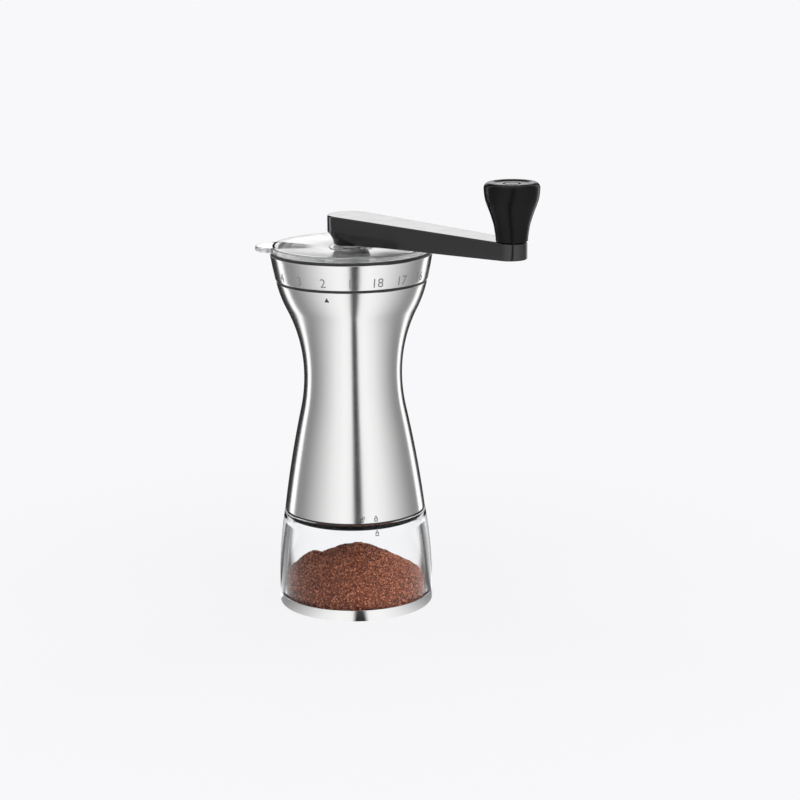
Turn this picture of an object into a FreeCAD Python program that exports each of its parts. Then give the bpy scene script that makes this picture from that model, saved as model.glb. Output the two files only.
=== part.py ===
import FreeCAD
import Part
import Sketcher
import math
import os

# Driving dimensions in millimetres and degrees; heights are above the surface the grinder stands on.
SIZES = {
    # jar and its steel base
    "base_radius": 32.8, "base_height": 4.9, "base_wall": 0.8, "base_edge": 0.8,
    "jar_height": 41.2, "jar_top_radius": 30.1, "jar_wall": 4.2, "jar_floor": 1.4, "jar_bend": 190.0,
    "neck_radius": 25.0, "neck_wall": 1.6, "neck_height": 7.8,
    "lug_reach": 1.2, "lug_rise": 3.6, "lug_height": 3.0, "lug_angle": 8.0, "twist_angle": 11.0,
    "lug_play": 0.3, "lug_side_play": 0.8,
    # coffee in the jar
    "heap_wall_height": 7.0, "heap_peak": 18.2, "heap_side_peak": 15.6, "heap_side_offset": 15.0,
    "heap_side_radius": 11.5, "heap_gap": 0.2, "heap_crown": 7.0,
    # hourglass body
    "body_bottom": 42.0, "body_bottom_radius": 29.95, "waist_height": 100.0, "waist_radius": 20.8,
    "body_top": 140.2, "shell_wall": 0.8,
    # steepest and last lean of the body's outline below and above the waist, in mean leans
    "low_lean": 1.39, "bottom_lean": 0.82, "high_lean": 1.76, "top_lean": 0.81,
    # hopper inside the body
    "liner_gap": 0.4, "liner_wall": 1.6, "liner_flange": 1.0, "seam_inset": 0.35,
    "collar_step": 0.55, "collar_wall": 1.6, "collar_height": 8.8,
    "liner_bottom": 82.0, "socket_depth": 8.0,
    # mill frame and burrs
    "rim_height": 0.7, "frame_gap": 0.3, "bayonet_top": 50.6, "cup_radius": 22.6, "cup_bottom": 50.0,
    "burr_outer_radius": 19.5, "burr_bottom": 52.0, "burr_height": 14.0, "cup_top": 72.0,
    "mouth_radius": 14.6, "ring_gap": 0.35, "band_height": 4.0, "band_slope": 10.0,
    "cone_radius": 16.6, "cone_bottom": 50.6, "cone_top": 67.5, "cone_top_radius": 6.6,
    "ring_tooth_count": 16, "cone_tooth_count": 8, "band_tooth_count": 24,
    "tooth_depth": 1.6, "tooth_width": 3.2, "tooth_twist": 24.0, "band_tooth_depth": 0.7,
    "retainer_thickness": 1.5, "retainer_lip": 0.9, "screw_radius": 1.25, "screw_head_radius": 2.0,
    "screw_length": 7.0, "screw_circle": 21.05,
    "spider_bottom": 74.5, "spider_height": 5.0, "spider_hub_radius": 7.2, "spider_arm_width": 4.5,
    # shaft and its bearings
    "shaft_radius": 4.0, "running_clearance": 0.04, "bush_wall": 1.5, "bush_flange": 1.0,
    "hex_flats": 6.8, "hex_bottom": 151.6, "shaft_top": 164.0, "burr_hex_flats": 6.0,
    "thread_radius": 2.5, "shaft_bottom": 46.8, "nut_flats": 8.0, "nut_height": 3.0,
    "shoulder_radius": 6.2, "shoulder_height": 2.6, "circlip_radius": 6.0, "circlip_thickness": 0.8,
    "circlip_groove": 0.5, "circlip_mouth": 3.0, "thrust_washer_thickness": 0.5,
    "spring_wire": 0.9, "spring_radius": 5.3, "spring_turns": 4, "spring_seat_gap": 0.15,
    # bearing carrier
    "carrier_bottom": 143.0, "carrier_hub_height": 6.2, "carrier_hub_radius": 7.6,
    "carrier_arm_width": 6.0, "carrier_arm_rise": 1.1, "carrier_arm_height": 4.0, "key_clearance": 0.1,
    "adjust_travel": 0.9,
    # setting ring
    "ring_bottom": 141.3, "ring_height": 10.5, "ring_top_radius": 34.1, "ring_flare": 2.05,
    "ring_overhang": 0.3, "ring_wall": 0.9, "ring_bend": 150.0,
    "insert_wall": 0.4, "pilot_height": 1.1, "insert_flange": 1.1,
    # clear lid
    "lid_inset": 0.5, "lid_rim_height": 2.4, "lid_rim_width": 1.6, "lid_dish": 1.2, "lid_thickness": 1.9,
    "lid_play": 0.45, "lid_skirt_wall": 1.5, "lid_skirt_depth": 2.2,
    "lid_hole": 7.5, "lid_collar_width": 1.7, "lid_collar_height": 0.4,
    "tab_reach": 6.7, "tab_width": 18.0, "tab_thickness": 2.0, "tab_bend": 11.0,
    # crank and knob
    "crank_angle": 45.0, "crank_length": 90.5, "crank_top": 167.9, "crank_drop": 1.6, "hub_radius": 9.85,
    "hub_neck_radius": 7.2, "hub_bottom": 155.6, "hub_straight": 161.0, "hub_neck_bend": 9.0,
    "arm_end_radius": 6.05, "arm_belly": 24.0, "arm_belly_height": 157.6, "arm_belly_bend": 40.0,
    "arm_end_bottom": 159.4, "arm_edge": 0.8,
    "socket_radius": 5.6, "socket_bottom": 154.9, "socket_roof": 1.4,
    "hex_clearance": 0.1, "press_play": 0.02,
    "pin_radius": 2.5, "pin_depth": 4.6, "pin_head_radius": 4.2, "pin_head_height": 1.2,
    "knob_gap": 0.25, "knob_height": 23.0, "knob_foot_radius": 6.35, "knob_rim_radius": 11.0,
    "knob_rim_rise": 20.6, "knob_rim_bend": 2.2, "knob_waist_rise": 4.0, "knob_bend": 36.0,
    "knob_bore_floor": 15.0, "knob_well_radius": 6.4,
    "cap_radius": 8.9, "cap_thickness": 1.6, "cap_dish": 0.5, "washer_radius": 5.2, "washer_thickness": 0.5,
}
THREE_FOLD = 3
SCREW_START = 60

doc = FreeCAD.newDocument("hand_crank_coffee_grinder")
sheet = doc.addObject("Spreadsheet::Sheet", "Sizes")
for row, (alias, number) in enumerate(SIZES.items(), start=1):
    sheet.set(f"A{row}", alias)
    sheet.set(f"B{row}", str(number))
    sheet.setAlias(f"B{row}", alias)
doc.recompute()


class Size:
    """A number of the sheet together with the formula that gives it."""

    def __init__(self, value, formula):
        self.value = value
        self.formula = formula

    def __add__(self, other):
        other = as_size(other)
        return Size(self.value + other.value, f"({self.formula} + {other.formula})")

    def __sub__(self, other):
        other = as_size(other)
        return Size(self.value - other.value, f"({self.formula} - {other.formula})")

    def __mul__(self, other):
        other = as_size(other)
        return Size(self.value * other.value, f"({self.formula} * {other.formula})")

    def __truediv__(self, other):
        other = as_size(other)
        return Size(self.value / other.value, f"({self.formula} / {other.formula})")

    def __neg__(self):
        return Size(-self.value, f"(0 - {self.formula})")

    def __rsub__(self, other):
        return as_size(other) - self

    __radd__ = __add__
    __rmul__ = __mul__


def as_size(number):
    return number if isinstance(number, Size) else Size(float(number), repr(float(number)))


def sine(angle):
    return Size(math.sin(math.radians(angle.value)), f"sin({angle.formula})")


def cosine(angle):
    return Size(math.cos(math.radians(angle.value)), f"cos({angle.formula})")


def lean_of(run, rise):
    return Size(math.degrees(math.atan2(run.value, rise.value)), f"atan({run.formula} / {rise.formula})")


def root(number):
    return Size(math.sqrt(number.value), f"sqrt({number.formula})")


class Sheet:
    """Every driving dimension as an attribute."""

    def __init__(self):
        for alias, number in SIZES.items():
            setattr(self, alias, Size(float(number), f"Sizes.{alias}"))


d = Sheet()


def derived(alias, size):
    """Keeps a value that follows from others in the sheet under its own name."""
    row = len(vars(d)) + 1
    sheet.set(f"A{row}", alias)
    sheet.set(f"B{row}", "=" + size.formula.replace("Sizes.", ""))
    sheet.setAlias(f"B{row}", alias)
    setattr(d, alias, Size(size.value, f"Sizes.{alias}"))
    doc.recompute()


def new_body(label):
    body = doc.addObject("PartDesign::Body", label)
    body.Label = label
    return body


def new_sketch(body, plane, height=None, turn=None):
    """A sketch on one of the body's own planes, raised along its normal or turned about the upright axis."""
    sketch = body.newObject("Sketcher::SketchObject", "Sketch")
    support = next(f for f in body.Origin.OriginFeatures if f.Role == plane)
    sketch.AttachmentSupport = [(support, "")]
    sketch.MapMode = "FlatFace"
    if height is not None:
        sketch.AttachmentOffset = FreeCAD.Placement(FreeCAD.Vector(0, 0, height.value), FreeCAD.Rotation())
        sketch.setExpression("AttachmentOffset.Base.z", height.formula)
    if turn is not None:
        axis = FreeCAD.Vector(0, 1, 0)
        sketch.AttachmentOffset = FreeCAD.Placement(FreeCAD.Vector(), FreeCAD.Rotation(axis, turn.value))
        sketch.setExpression("AttachmentOffset.Rotation.Angle", turn.formula)
    return sketch


def pin_point(sketch, geometry, end, corner):
    for kind, size in zip(("DistanceX", "DistanceY"), corner):
        size = as_size(size)
        index = sketch.addConstraint(Sketcher.Constraint(kind, -1, 1, geometry, end, size.value))
        sketch.renameConstraint(index, f"{kind}_{geometry}_{end}")
        sketch.setExpression(f".Constraints.{kind}_{geometry}_{end}", size.formula)


def arc_between(start, end, bend):
    """The shorter arc from start to end; a positive bend turns left, a negative one right."""
    chord = end - start
    half = chord.Length / 2
    side = FreeCAD.Vector(-chord.y, chord.x, 0).normalize()
    centre = (start + end) * 0.5 + side * math.copysign(math.sqrt(bend * bend - half * half), bend)
    circle = Part.Circle(centre, FreeCAD.Vector(0, 0, 1), abs(bend))
    first, last = (start, end) if bend > 0 else (end, start)
    low, high = circle.parameter(first), circle.parameter(last)
    return Part.ArcOfCircle(circle, low, high if high > low else high + 2 * math.pi)


def outline(sketch, corners):
    """A closed outline; a corner (x, y, bend) starts an arc of that signed radius to the next corner."""
    points = [FreeCAD.Vector(as_size(c[0]).value, as_size(c[1]).value, 0) for c in corners]
    ends = []
    for i, corner in enumerate(corners):
        start, end = points[i], points[(i + 1) % len(points)]
        if len(corner) == 2:
            index = sketch.addGeometry(Part.LineSegment(start, end))
            ends.append((index, 1, 2))
        else:
            bend = as_size(corner[2])
            index = sketch.addGeometry(arc_between(start, end, bend.value))
            ends.append((index, 1, 2) if bend.value > 0 else (index, 2, 1))
            radius = bend if bend.value > 0 else -bend
            name = f"bend_{index}"
            sketch.renameConstraint(
                sketch.addConstraint(Sketcher.Constraint("Radius", index, radius.value)), name)
            sketch.setExpression(f".Constraints.{name}", radius.formula)
    for i, (index, first, last) in enumerate(ends):
        following = ends[(i + 1) % len(ends)]
        sketch.addConstraint(Sketcher.Constraint("Coincident", index, last, following[0], following[1]))
        pin_point(sketch, index, first, corners[i])
    return sketch


def circle(sketch, centre, radius):
    place = FreeCAD.Vector(as_size(centre[0]).value, as_size(centre[1]).value, 0)
    index = sketch.addGeometry(Part.Circle(place, FreeCAD.Vector(0, 0, 1), radius.value))
    pin_point(sketch, index, 3, centre)
    name = f"radius_{index}"
    sketch.renameConstraint(sketch.addConstraint(Sketcher.Constraint("Radius", index, radius.value)), name)
    sketch.setExpression(f".Constraints.{name}", radius.formula)
    return sketch


def hexagon(sketch, flats):
    """A hexagon about the origin with its flats that far apart."""
    corner = flats / root(as_size(3))
    turns = [as_size(60 * step) for step in range(6)]
    return outline(sketch, [(corner * cosine(turn), corner * sine(turn)) for turn in turns])


def rectangle(low_x, low_y, high_x, high_y):
    return [(low_x, low_y), (high_x, low_y), (high_x, high_y), (low_x, high_y)]


def spin(body, corners, kind="PartDesign::Revolution", angle=None, turn=None):
    """Turns an outline of radii and heights about the upright axis, all the way or by an angle each side."""
    sketch = outline(new_sketch(body, "XZ_Plane", turn=turn), corners)
    feature = body.newObject(kind, "Spin")
    feature.Profile = sketch
    feature.ReferenceAxis = (sketch, ["V_Axis"])
    if angle is not None:
        feature.Midplane = True
        feature.Angle = angle.value
        feature.setExpression("Angle", angle.formula)
    doc.recompute()
    return feature


def extrude(body, sketch, length, kind="PartDesign::Pad", both_ways=False, reverse=False):
    """Pads or pockets a sketch, and tells whether the solid really grew or shrank."""
    before = body.Shape.Volume if body.Tip else 0
    feature = body.newObject(kind, "Extrude")
    feature.Profile = sketch
    feature.Length = length.value
    feature.setExpression("Length", length.formula)
    if both_ways:
        feature.SideType = "Symmetric"
    feature.Reversed = reverse
    doc.recompute()
    assert abs(body.Shape.Volume - before) > 1e-6, f"{body.Label}: a feature changed nothing"
    return feature


def repeat(body, feature, count):
    """Copies a feature evenly round the upright axis."""
    pattern = body.newObject("PartDesign::PolarPattern", "Pattern")
    pattern.Originals = [feature]
    pattern.Axis = (next(f for f in body.Origin.OriginFeatures if f.Role == "Z_Axis"), [""])
    pattern.Angle = 360
    pattern.Occurrences = count
    body.Tip = pattern
    doc.recompute()
    return pattern


def soften(body, radius, wanted):
    """Rounds the edges that a test picks from the body's tip."""
    tip = body.Tip
    names = [f"Edge{i}" for i, edge in enumerate(tip.Shape.Edges, start=1) if wanted(edge)]
    fillet = body.newObject("PartDesign::Fillet", "Soften")
    fillet.Base = (tip, names)
    fillet.Radius = radius.value
    fillet.setExpression("Radius", radius.formula)
    doc.recompute()
    return fillet


def ring_body(label, inner, outer, bottom, top):
    body = new_body(label)
    spin(body, rectangle(inner, bottom, outer, top))
    return body


def swell(name, waist, end, steepest, last, up):
    """Two tangent arcs from the upright waist to an end; up is 1 above the waist, -1 below."""
    run, rise = end[0] - waist[0], up * (end[1] - waist[1])
    derived(f"{name}_mean", lean_of(run, rise))
    mean = getattr(d, f"{name}_mean")
    steep, flat = mean * steepest, mean * last
    first = (1 - cosine(steep), sine(steep))
    second = (cosine(flat) - cosine(steep), sine(steep) - sine(flat))
    measure = first[0] * second[1] - second[0] * first[1]
    derived(f"{name}_waist_bend", (run * second[1] - rise * second[0]) / measure)
    derived(f"{name}_end_bend", (first[0] * rise - first[1] * run) / measure)
    waist_bend = getattr(d, f"{name}_waist_bend")
    derived(f"{name}_turn_radius", waist[0] + waist_bend * first[0])
    derived(f"{name}_turn_height", waist[1] + up * waist_bend * first[1])


# Places that several pieces share.
derived("ring_bottom_radius", d.ring_top_radius - d.ring_flare)
derived("body_top_radius", d.ring_bottom_radius - d.ring_overhang)
waist_place = (d.waist_radius, d.waist_height)
swell("low", waist_place, (d.body_bottom_radius, d.body_bottom), d.low_lean, d.bottom_lean, -1)
swell("high", waist_place, (d.body_top_radius, d.body_top), d.high_lean, d.top_lean, 1)
derived("thread_bore", d.ring_bottom_radius - d.ring_wall - d.insert_wall)
derived("collar_radius", d.thread_bore - d.collar_step)
derived("lid_radius", d.ring_top_radius - d.lid_inset)
derived("lid_skirt_radius", d.thread_bore - d.lid_play)
waist_inside = d.waist_radius - d.shell_wall
shell_bottom_inside = d.body_bottom_radius - d.shell_wall
shell_top_inside = d.body_top_radius - d.shell_wall
liner_outside = waist_inside - d.liner_gap
liner_bore = liner_outside - d.liner_wall
neck_top = d.jar_height + d.neck_height
lug_bottom = d.jar_height + d.lug_rise
lug_top = lug_bottom + d.lug_height
bayonet_bore = d.neck_radius + d.lug_play
channel_radius = d.neck_radius + d.lug_reach + d.lug_play
burr_top = d.burr_bottom + d.burr_height
band_top = d.burr_bottom + d.band_height
band_lean = d.band_height * sine(d.band_slope) / cosine(d.band_slope)
bush_bore = d.shaft_radius + d.running_clearance
bush_radius = bush_bore + d.bush_wall
spider_top = d.spider_bottom + d.spider_height
carrier_hub_top = d.carrier_bottom + d.carrier_hub_height
carrier_arm_bottom = d.carrier_bottom + d.carrier_arm_rise
carrier_reach = d.thread_bore - d.running_clearance
flange_bottom = d.body_top
flange_top = flange_bottom + d.liner_flange
collar_top = flange_top + d.collar_height
ring_top = d.ring_bottom + d.ring_height
insert_top = ring_top + d.insert_flange
lid_rim_top = insert_top + d.lid_rim_height
lid_centre_top = lid_rim_top - d.lid_dish
knob_bottom = d.crank_top - d.crank_drop + d.knob_gap
knob_top = knob_bottom + d.knob_height
pin_top = knob_bottom + d.knob_bore_floor + d.washer_thickness + d.pin_head_height + d.knob_gap


def hourglass(inset):
    """Bottom, lower turn, waist, upper turn and top of the body's outline, drawn in by an inset."""
    return [(radius - inset, height) for radius, height in (
        (d.body_bottom_radius, d.body_bottom), (d.low_turn_radius, d.low_turn_height),
        (d.waist_radius, d.waist_height), (d.high_turn_radius, d.high_turn_height),
        (d.body_top_radius, d.body_top))]


def make_body_shell():
    body = new_body("body_shell")
    bottom, low_turn, waist, high_turn, top = hourglass(as_size(0))
    bottom_in, low_turn_in, waist_in, high_turn_in, top_in = hourglass(d.shell_wall)
    spin(body, [
        (*bottom, d.low_end_bend), (*low_turn, -d.low_waist_bend), (*waist, -d.high_waist_bend),
        (*high_turn, d.high_end_bend), top,
        (*top_in, -d.high_end_bend), (*high_turn_in, d.high_waist_bend), (*waist_in, d.low_waist_bend),
        (*low_turn_in, -d.low_end_bend), bottom_in])
    return body


def make_hopper_liner():
    """Funnel for the beans, with the exposed seam flange and the keyed collar that carries the ring."""
    body = new_body("hopper_liner")
    outside = d.shell_wall + d.liner_gap
    inside = outside + d.liner_wall
    _, _, waist, high_turn, top = hourglass(outside)
    _, _, waist_in, high_turn_in, top_in = hourglass(inside)
    bore = d.collar_radius - d.collar_wall
    spin(body, [
        (liner_outside, d.liner_bottom), (*waist, -d.high_waist_bend), (*high_turn, d.high_end_bend), top,
        (d.body_top_radius - d.seam_inset, flange_bottom), (d.body_top_radius - d.seam_inset, flange_top),
        (d.collar_radius, flange_top), (d.collar_radius, collar_top), (bore, collar_top),
        (bore, flange_bottom), (*top_in, -d.high_end_bend), (*high_turn_in, d.high_waist_bend), waist_in,
        (liner_bore, d.liner_bottom)])
    slot = new_sketch(body, "XZ_Plane")
    slot_floor = carrier_arm_bottom - d.adjust_travel - d.key_clearance
    outline(slot, rectangle(bore - d.liner_wall, slot_floor, d.collar_radius + d.liner_wall,
                            collar_top + d.liner_wall))
    cut = extrude(body, slot, d.carrier_arm_width + 2 * d.key_clearance, "PartDesign::Pocket", both_ways=True)
    repeat(body, cut, THREE_FOLD)
    return body


def make_mill_frame():
    """Moulding that closes the body below: bayonet ring, burr cup, spider and the liner's socket."""
    body = new_body("mill_frame")
    rim = d.body_bottom_radius - d.seam_inset
    skirt_bottom = shell_bottom_inside - d.frame_gap
    body_lean = (d.body_bottom_radius - d.waist_radius) / (d.waist_height - d.body_bottom)
    skirt_top = skirt_bottom - (d.bayonet_top - d.body_bottom) * body_lean
    socket_bore = liner_outside + d.running_clearance
    socket_radius = socket_bore + d.retainer_lip
    socket_top = d.liner_bottom + d.socket_depth
    spin(body, [
        (rim, d.body_bottom - d.rim_height), (rim, d.body_bottom), (skirt_bottom, d.body_bottom),
        (skirt_top, d.bayonet_top), (skirt_top, d.bayonet_top + d.liner_wall),
        (d.cup_radius, d.bayonet_top + 2 * d.liner_wall), (d.cup_radius, d.cup_top),
        (socket_radius, d.liner_bottom - d.liner_wall), (socket_radius, socket_top),
        (socket_bore, socket_top), (socket_bore, d.liner_bottom), (liner_bore, d.liner_bottom),
        (d.mouth_radius, burr_top + d.liner_wall), (d.mouth_radius, burr_top),
        (d.burr_outer_radius, burr_top), (d.burr_outer_radius, d.cup_bottom), (d.cup_radius, d.cup_bottom),
        (d.cup_radius, d.bayonet_top), (bayonet_bore, d.bayonet_top),
        (bayonet_bore, d.body_bottom - d.rim_height)])
    arm = outline(new_sketch(body, "XY_Plane", d.spider_bottom), rectangle(
        as_size(0), -d.spider_arm_width / 2, liner_bore, d.spider_arm_width / 2))
    repeat(body, extrude(body, arm, d.spider_height), THREE_FOLD)
    hub = circle(new_sketch(body, "XY_Plane", d.spider_bottom), (0, 0), d.spider_hub_radius)
    extrude(body, hub, d.spider_height)
    bore = circle(new_sketch(body, "XY_Plane", d.spider_bottom), (0, 0), bush_radius)
    extrude(body, bore, d.spider_height, "PartDesign::Pocket", reverse=True)
    screw_x = d.screw_circle * cosine(as_size(SCREW_START))
    screw_y = d.screw_circle * sine(as_size(SCREW_START))
    pilot = circle(new_sketch(body, "XY_Plane", d.cup_bottom), (screw_x, screw_y), d.screw_radius)
    pilot_depth = d.screw_length - d.retainer_thickness
    repeat(body, extrude(body, pilot, pilot_depth, "PartDesign::Pocket", reverse=True), THREE_FOLD)
    play = 2 * d.lug_side_play
    middle = d.twist_angle / 2
    channel = spin(body, rectangle(bayonet_bore - d.lug_play, lug_bottom - d.lug_play, channel_radius,
                                   lug_top + d.lug_play), "PartDesign::Groove",
                   d.lug_angle + d.twist_angle + play, -middle)
    repeat(body, channel, THREE_FOLD)
    entry = spin(body, rectangle(bayonet_bore - d.lug_play, d.jar_height, channel_radius, lug_bottom),
                 "PartDesign::Groove", d.lug_angle + play, -d.twist_angle)
    repeat(body, entry, THREE_FOLD)
    return body


def tooth_cutter(radius_low, low, radius_high, high, depth, width, twist):
    """A slanting V groove: a ruled loft between two triangles, the upper one turned about the axis."""
    wires = []
    for radius, height, turn in ((radius_low, low, 0), (radius_high, high, twist)):
        half = width / 2 * radius / radius_low
        corners = [(radius - depth, 0), (radius + depth, -2 * half), (radius + depth, 2 * half)]
        points = [FreeCAD.Vector(x, y, height) for x, y in corners]
        wire = Part.makePolygon(points + points[:1])
        wire.rotate(FreeCAD.Vector(), FreeCAD.Vector(0, 0, 1), turn)
        wires.append(wire)
    return Part.makeLoft(wires, True, True)


def around_axis(shape, count):
    copies = []
    for step in range(count):
        turned = shape.copy()
        turned.rotate(FreeCAD.Vector(), FreeCAD.Vector(0, 0, 1), 360 / count * step)
        copies.append(turned)
    return copies


def shaped(label, shape):
    """A sub-part whose solid comes straight from shape functions."""
    feature = doc.addObject("Part::Feature", label)
    feature.Label = label
    feature.Shape = shape
    feature.Placement = FreeCAD.Placement()
    return feature


def turned(corners):
    """A solid of revolution from radii and heights of the sheet."""
    points = [FreeCAD.Vector(as_size(r).value, 0, as_size(z).value) for r, z in corners]
    face = Part.Face(Part.makePolygon(points + points[:1]))
    return face.revolve(FreeCAD.Vector(), FreeCAD.Vector(0, 0, 1), 360)


def make_outer_burr():
    """Ceramic ring burr; its inner cone has slanting teeth that end above the fine grinding band."""
    ring_low = d.cone_radius + d.ring_gap
    ring_band = ring_low - band_lean
    blank = turned([
        (ring_low, d.burr_bottom), (d.burr_outer_radius, d.burr_bottom), (d.burr_outer_radius, burr_top),
        (d.mouth_radius, burr_top), (ring_band, band_top)])
    depth = d.tooth_depth.value
    cutter = tooth_cutter(
        ring_band.value, d.burr_bottom.value + depth, d.mouth_radius.value, burr_top.value + depth,
        -depth, d.tooth_width.value, d.tooth_twist.value)
    return shaped("outer_burr", blank.cut(around_axis(cutter, int(d.ring_tooth_count.value))))


def make_inner_burr():
    """Ceramic cone burr: broad slanting teeth draw the beans down, fine ones on the lower band mill them."""
    band_radius = d.cone_radius - band_lean
    blank = turned([
        (0, d.cone_bottom), (d.cone_radius - d.tooth_depth, d.cone_bottom), (d.cone_radius, d.burr_bottom),
        (band_radius, band_top), (d.cone_top_radius, d.cone_top - d.tooth_depth),
        (d.cone_top_radius, d.cone_top), (0, d.cone_top)])
    depth, fine = d.tooth_depth.value, d.band_tooth_depth.value
    broad = tooth_cutter(
        band_radius.value, band_top.value - depth, d.cone_top_radius.value + fine, d.cone_top.value - depth,
        depth, d.tooth_width.value * 2, -d.tooth_twist.value)
    narrow = tooth_cutter(
        d.cone_radius.value, d.cone_bottom.value - fine, band_radius.value, band_top.value + fine,
        fine, d.tooth_width.value / 2, -d.tooth_twist.value / 3)
    cone = blank.cut(around_axis(broad, int(d.cone_tooth_count.value)))
    cone = cone.cut(around_axis(narrow, int(d.band_tooth_count.value)))
    flats = d.burr_hex_flats.value / math.sqrt(3)
    bore = [FreeCAD.Vector(flats * math.cos(math.radians(60 * k)), flats * math.sin(math.radians(60 * k)),
                           d.cone_bottom.value) for k in range(6)]
    depth = d.cone_top.value - d.cone_bottom.value
    hole = Part.Face(Part.makePolygon(bore + bore[:1])).extrude(FreeCAD.Vector(0, 0, depth))
    return shaped("inner_burr", cone.cut(hole))


def screw_places():
    for step in range(THREE_FOLD):
        angle = math.radians(SCREW_START + 360 / THREE_FOLD * step)
        yield FreeCAD.Vector(math.cos(angle), math.sin(angle), 0) * d.screw_circle.value


def make_burr_retainer():
    """Plate under the ring burr, held by three screws in the cup's wall."""
    top = d.cup_bottom
    bottom = top - d.retainer_thickness
    plate = turned(rectangle(d.cone_radius + d.ring_gap + d.retainer_lip, bottom,
                             d.cup_radius, top))
    up = FreeCAD.Vector(0, 0, 1)
    holes = [Part.makeCylinder(d.screw_radius.value, d.retainer_thickness.value,
                               place + up * bottom.value, up) for place in screw_places()]
    return shaped("burr_retainer", plate.cut(holes))


def make_retainer_screws():
    head_top = d.cup_bottom - d.retainer_thickness
    head_height = d.screw_radius
    profile = turned([
        (0, head_top - head_height), (d.screw_head_radius, head_top - head_height / 2),
        (d.screw_head_radius, head_top), (d.screw_radius, head_top),
        (d.screw_radius, head_top + d.screw_length), (0, head_top + d.screw_length)])
    screws = []
    for place in screw_places():
        screw = profile.copy()
        screw.translate(place)
        screws.append(screw)
    return shaped("retainer_screws", Part.makeCompound(screws))


def make_bush(label, bottom, top):
    """Plain flanged bearing bush; the flange lies on top of its seat."""
    body = new_body(label)
    flange = bush_radius + d.bush_flange
    spin(body, [(bush_bore, bottom), (bush_radius, bottom), (bush_radius, top), (flange, top),
                (flange, top + d.bush_flange / 2), (bush_bore, top + d.bush_flange / 2)])
    return body


def make_bearing_carrier():
    """Keyed spider of the upper bearing; its three arms reach through the collar into the ring's thread."""
    body = new_body("bearing_carrier")
    spin(body, rectangle(bush_radius, d.carrier_bottom, d.carrier_hub_radius, carrier_hub_top))
    half = d.carrier_arm_width / 2
    tip = root(carrier_reach * carrier_reach - half * half)
    start = root(d.carrier_hub_radius * d.carrier_hub_radius - half * half) - d.bush_flange / 2
    arm = outline(new_sketch(body, "XY_Plane", carrier_arm_bottom), [
        (start, -half), (tip, -half, carrier_reach), (tip, half), (start, half)])
    repeat(body, extrude(body, arm, d.carrier_arm_height), THREE_FOLD)
    return body


def make_drive_shaft():
    """Steel shaft: hexagon for the crank, shoulder under the bearing, hexagon and thread for the cone."""
    body = new_body("drive_shaft")
    groove_bottom = carrier_hub_top + d.bush_flange / 2 + d.thrust_washer_thickness + d.running_clearance
    groove_top = groove_bottom + d.circlip_thickness + d.running_clearance
    groove_radius = d.shaft_radius - d.circlip_groove
    axis = as_size(0)
    shoulder_top = d.carrier_bottom - d.running_clearance
    spin(body, [
        (axis, d.cone_top), (d.shaft_radius, d.cone_top), (d.shaft_radius, shoulder_top - d.shoulder_height),
        (d.shoulder_radius, shoulder_top - d.shoulder_height), (d.shoulder_radius, shoulder_top),
        (d.shaft_radius, shoulder_top), (d.shaft_radius, groove_bottom), (groove_radius, groove_bottom),
        (groove_radius, groove_top), (d.shaft_radius, groove_top),
        (d.shaft_radius, d.hex_bottom + d.bush_flange), (axis, d.hex_bottom + d.bush_flange)])
    crank_hex = hexagon(new_sketch(body, "XY_Plane", d.hex_bottom), d.hex_flats)
    extrude(body, crank_hex, d.shaft_top - d.hex_bottom)
    burr_hex = hexagon(new_sketch(body, "XY_Plane", d.cone_bottom), d.burr_hex_flats)
    extrude(body, burr_hex, d.cone_top - d.cone_bottom)
    thread = circle(new_sketch(body, "XY_Plane", d.shaft_bottom), (0, 0), d.thread_radius)
    extrude(body, thread, d.cone_bottom - d.shaft_bottom)
    return body


def make_shaft_circlip():
    bottom = carrier_hub_top + d.bush_flange / 2 + d.thrust_washer_thickness + 1.5 * d.running_clearance
    body = ring_body("shaft_circlip", d.shaft_radius - d.circlip_groove, d.circlip_radius,
                     bottom, bottom + d.circlip_thickness)
    mouth = outline(new_sketch(body, "XY_Plane", bottom), rectangle(
        as_size(0), -d.circlip_mouth / 2, d.circlip_radius + d.circlip_mouth, d.circlip_mouth / 2))
    extrude(body, mouth, d.circlip_thickness, "PartDesign::Pocket", reverse=True)
    return body


def make_burr_nut():
    body = new_body("burr_nut")
    nut = hexagon(new_sketch(body, "XY_Plane", d.cone_bottom - d.nut_height), d.nut_flats)
    extrude(body, nut, d.nut_height)
    bore = circle(new_sketch(body, "XY_Plane", d.cone_bottom - d.nut_height), (0, 0), d.thread_radius)
    extrude(body, bore, d.nut_height, "PartDesign::Pocket", reverse=True)
    return body


def biarc(start, start_way, end, end_way):
    """Two arcs that leave start and reach end along the given directions with no kink."""
    chord = end - start
    together = 2 * (1 - start_way.dot(end_way))
    lead = chord.dot(start_way + end_way)
    reach = (-lead + math.sqrt(lead * lead + together * chord.dot(chord))) / together
    first_knee = start + start_way * reach
    last_knee = end - end_way * reach
    joint = (first_knee + last_knee) * 0.5
    edges = []
    for begin, knee, finish in ((start, first_knee, joint), (joint, last_knee, end)):
        away = ((begin - knee).normalize() + (finish - knee).normalize()).normalize()
        opening = (begin - knee).getAngle(away)
        centre = knee + away * ((begin - knee).Length / math.cos(opening))
        middle = centre - away * (begin - centre).Length
        edges.append(Part.Arc(begin, middle, finish).toShape())
    return edges


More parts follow.
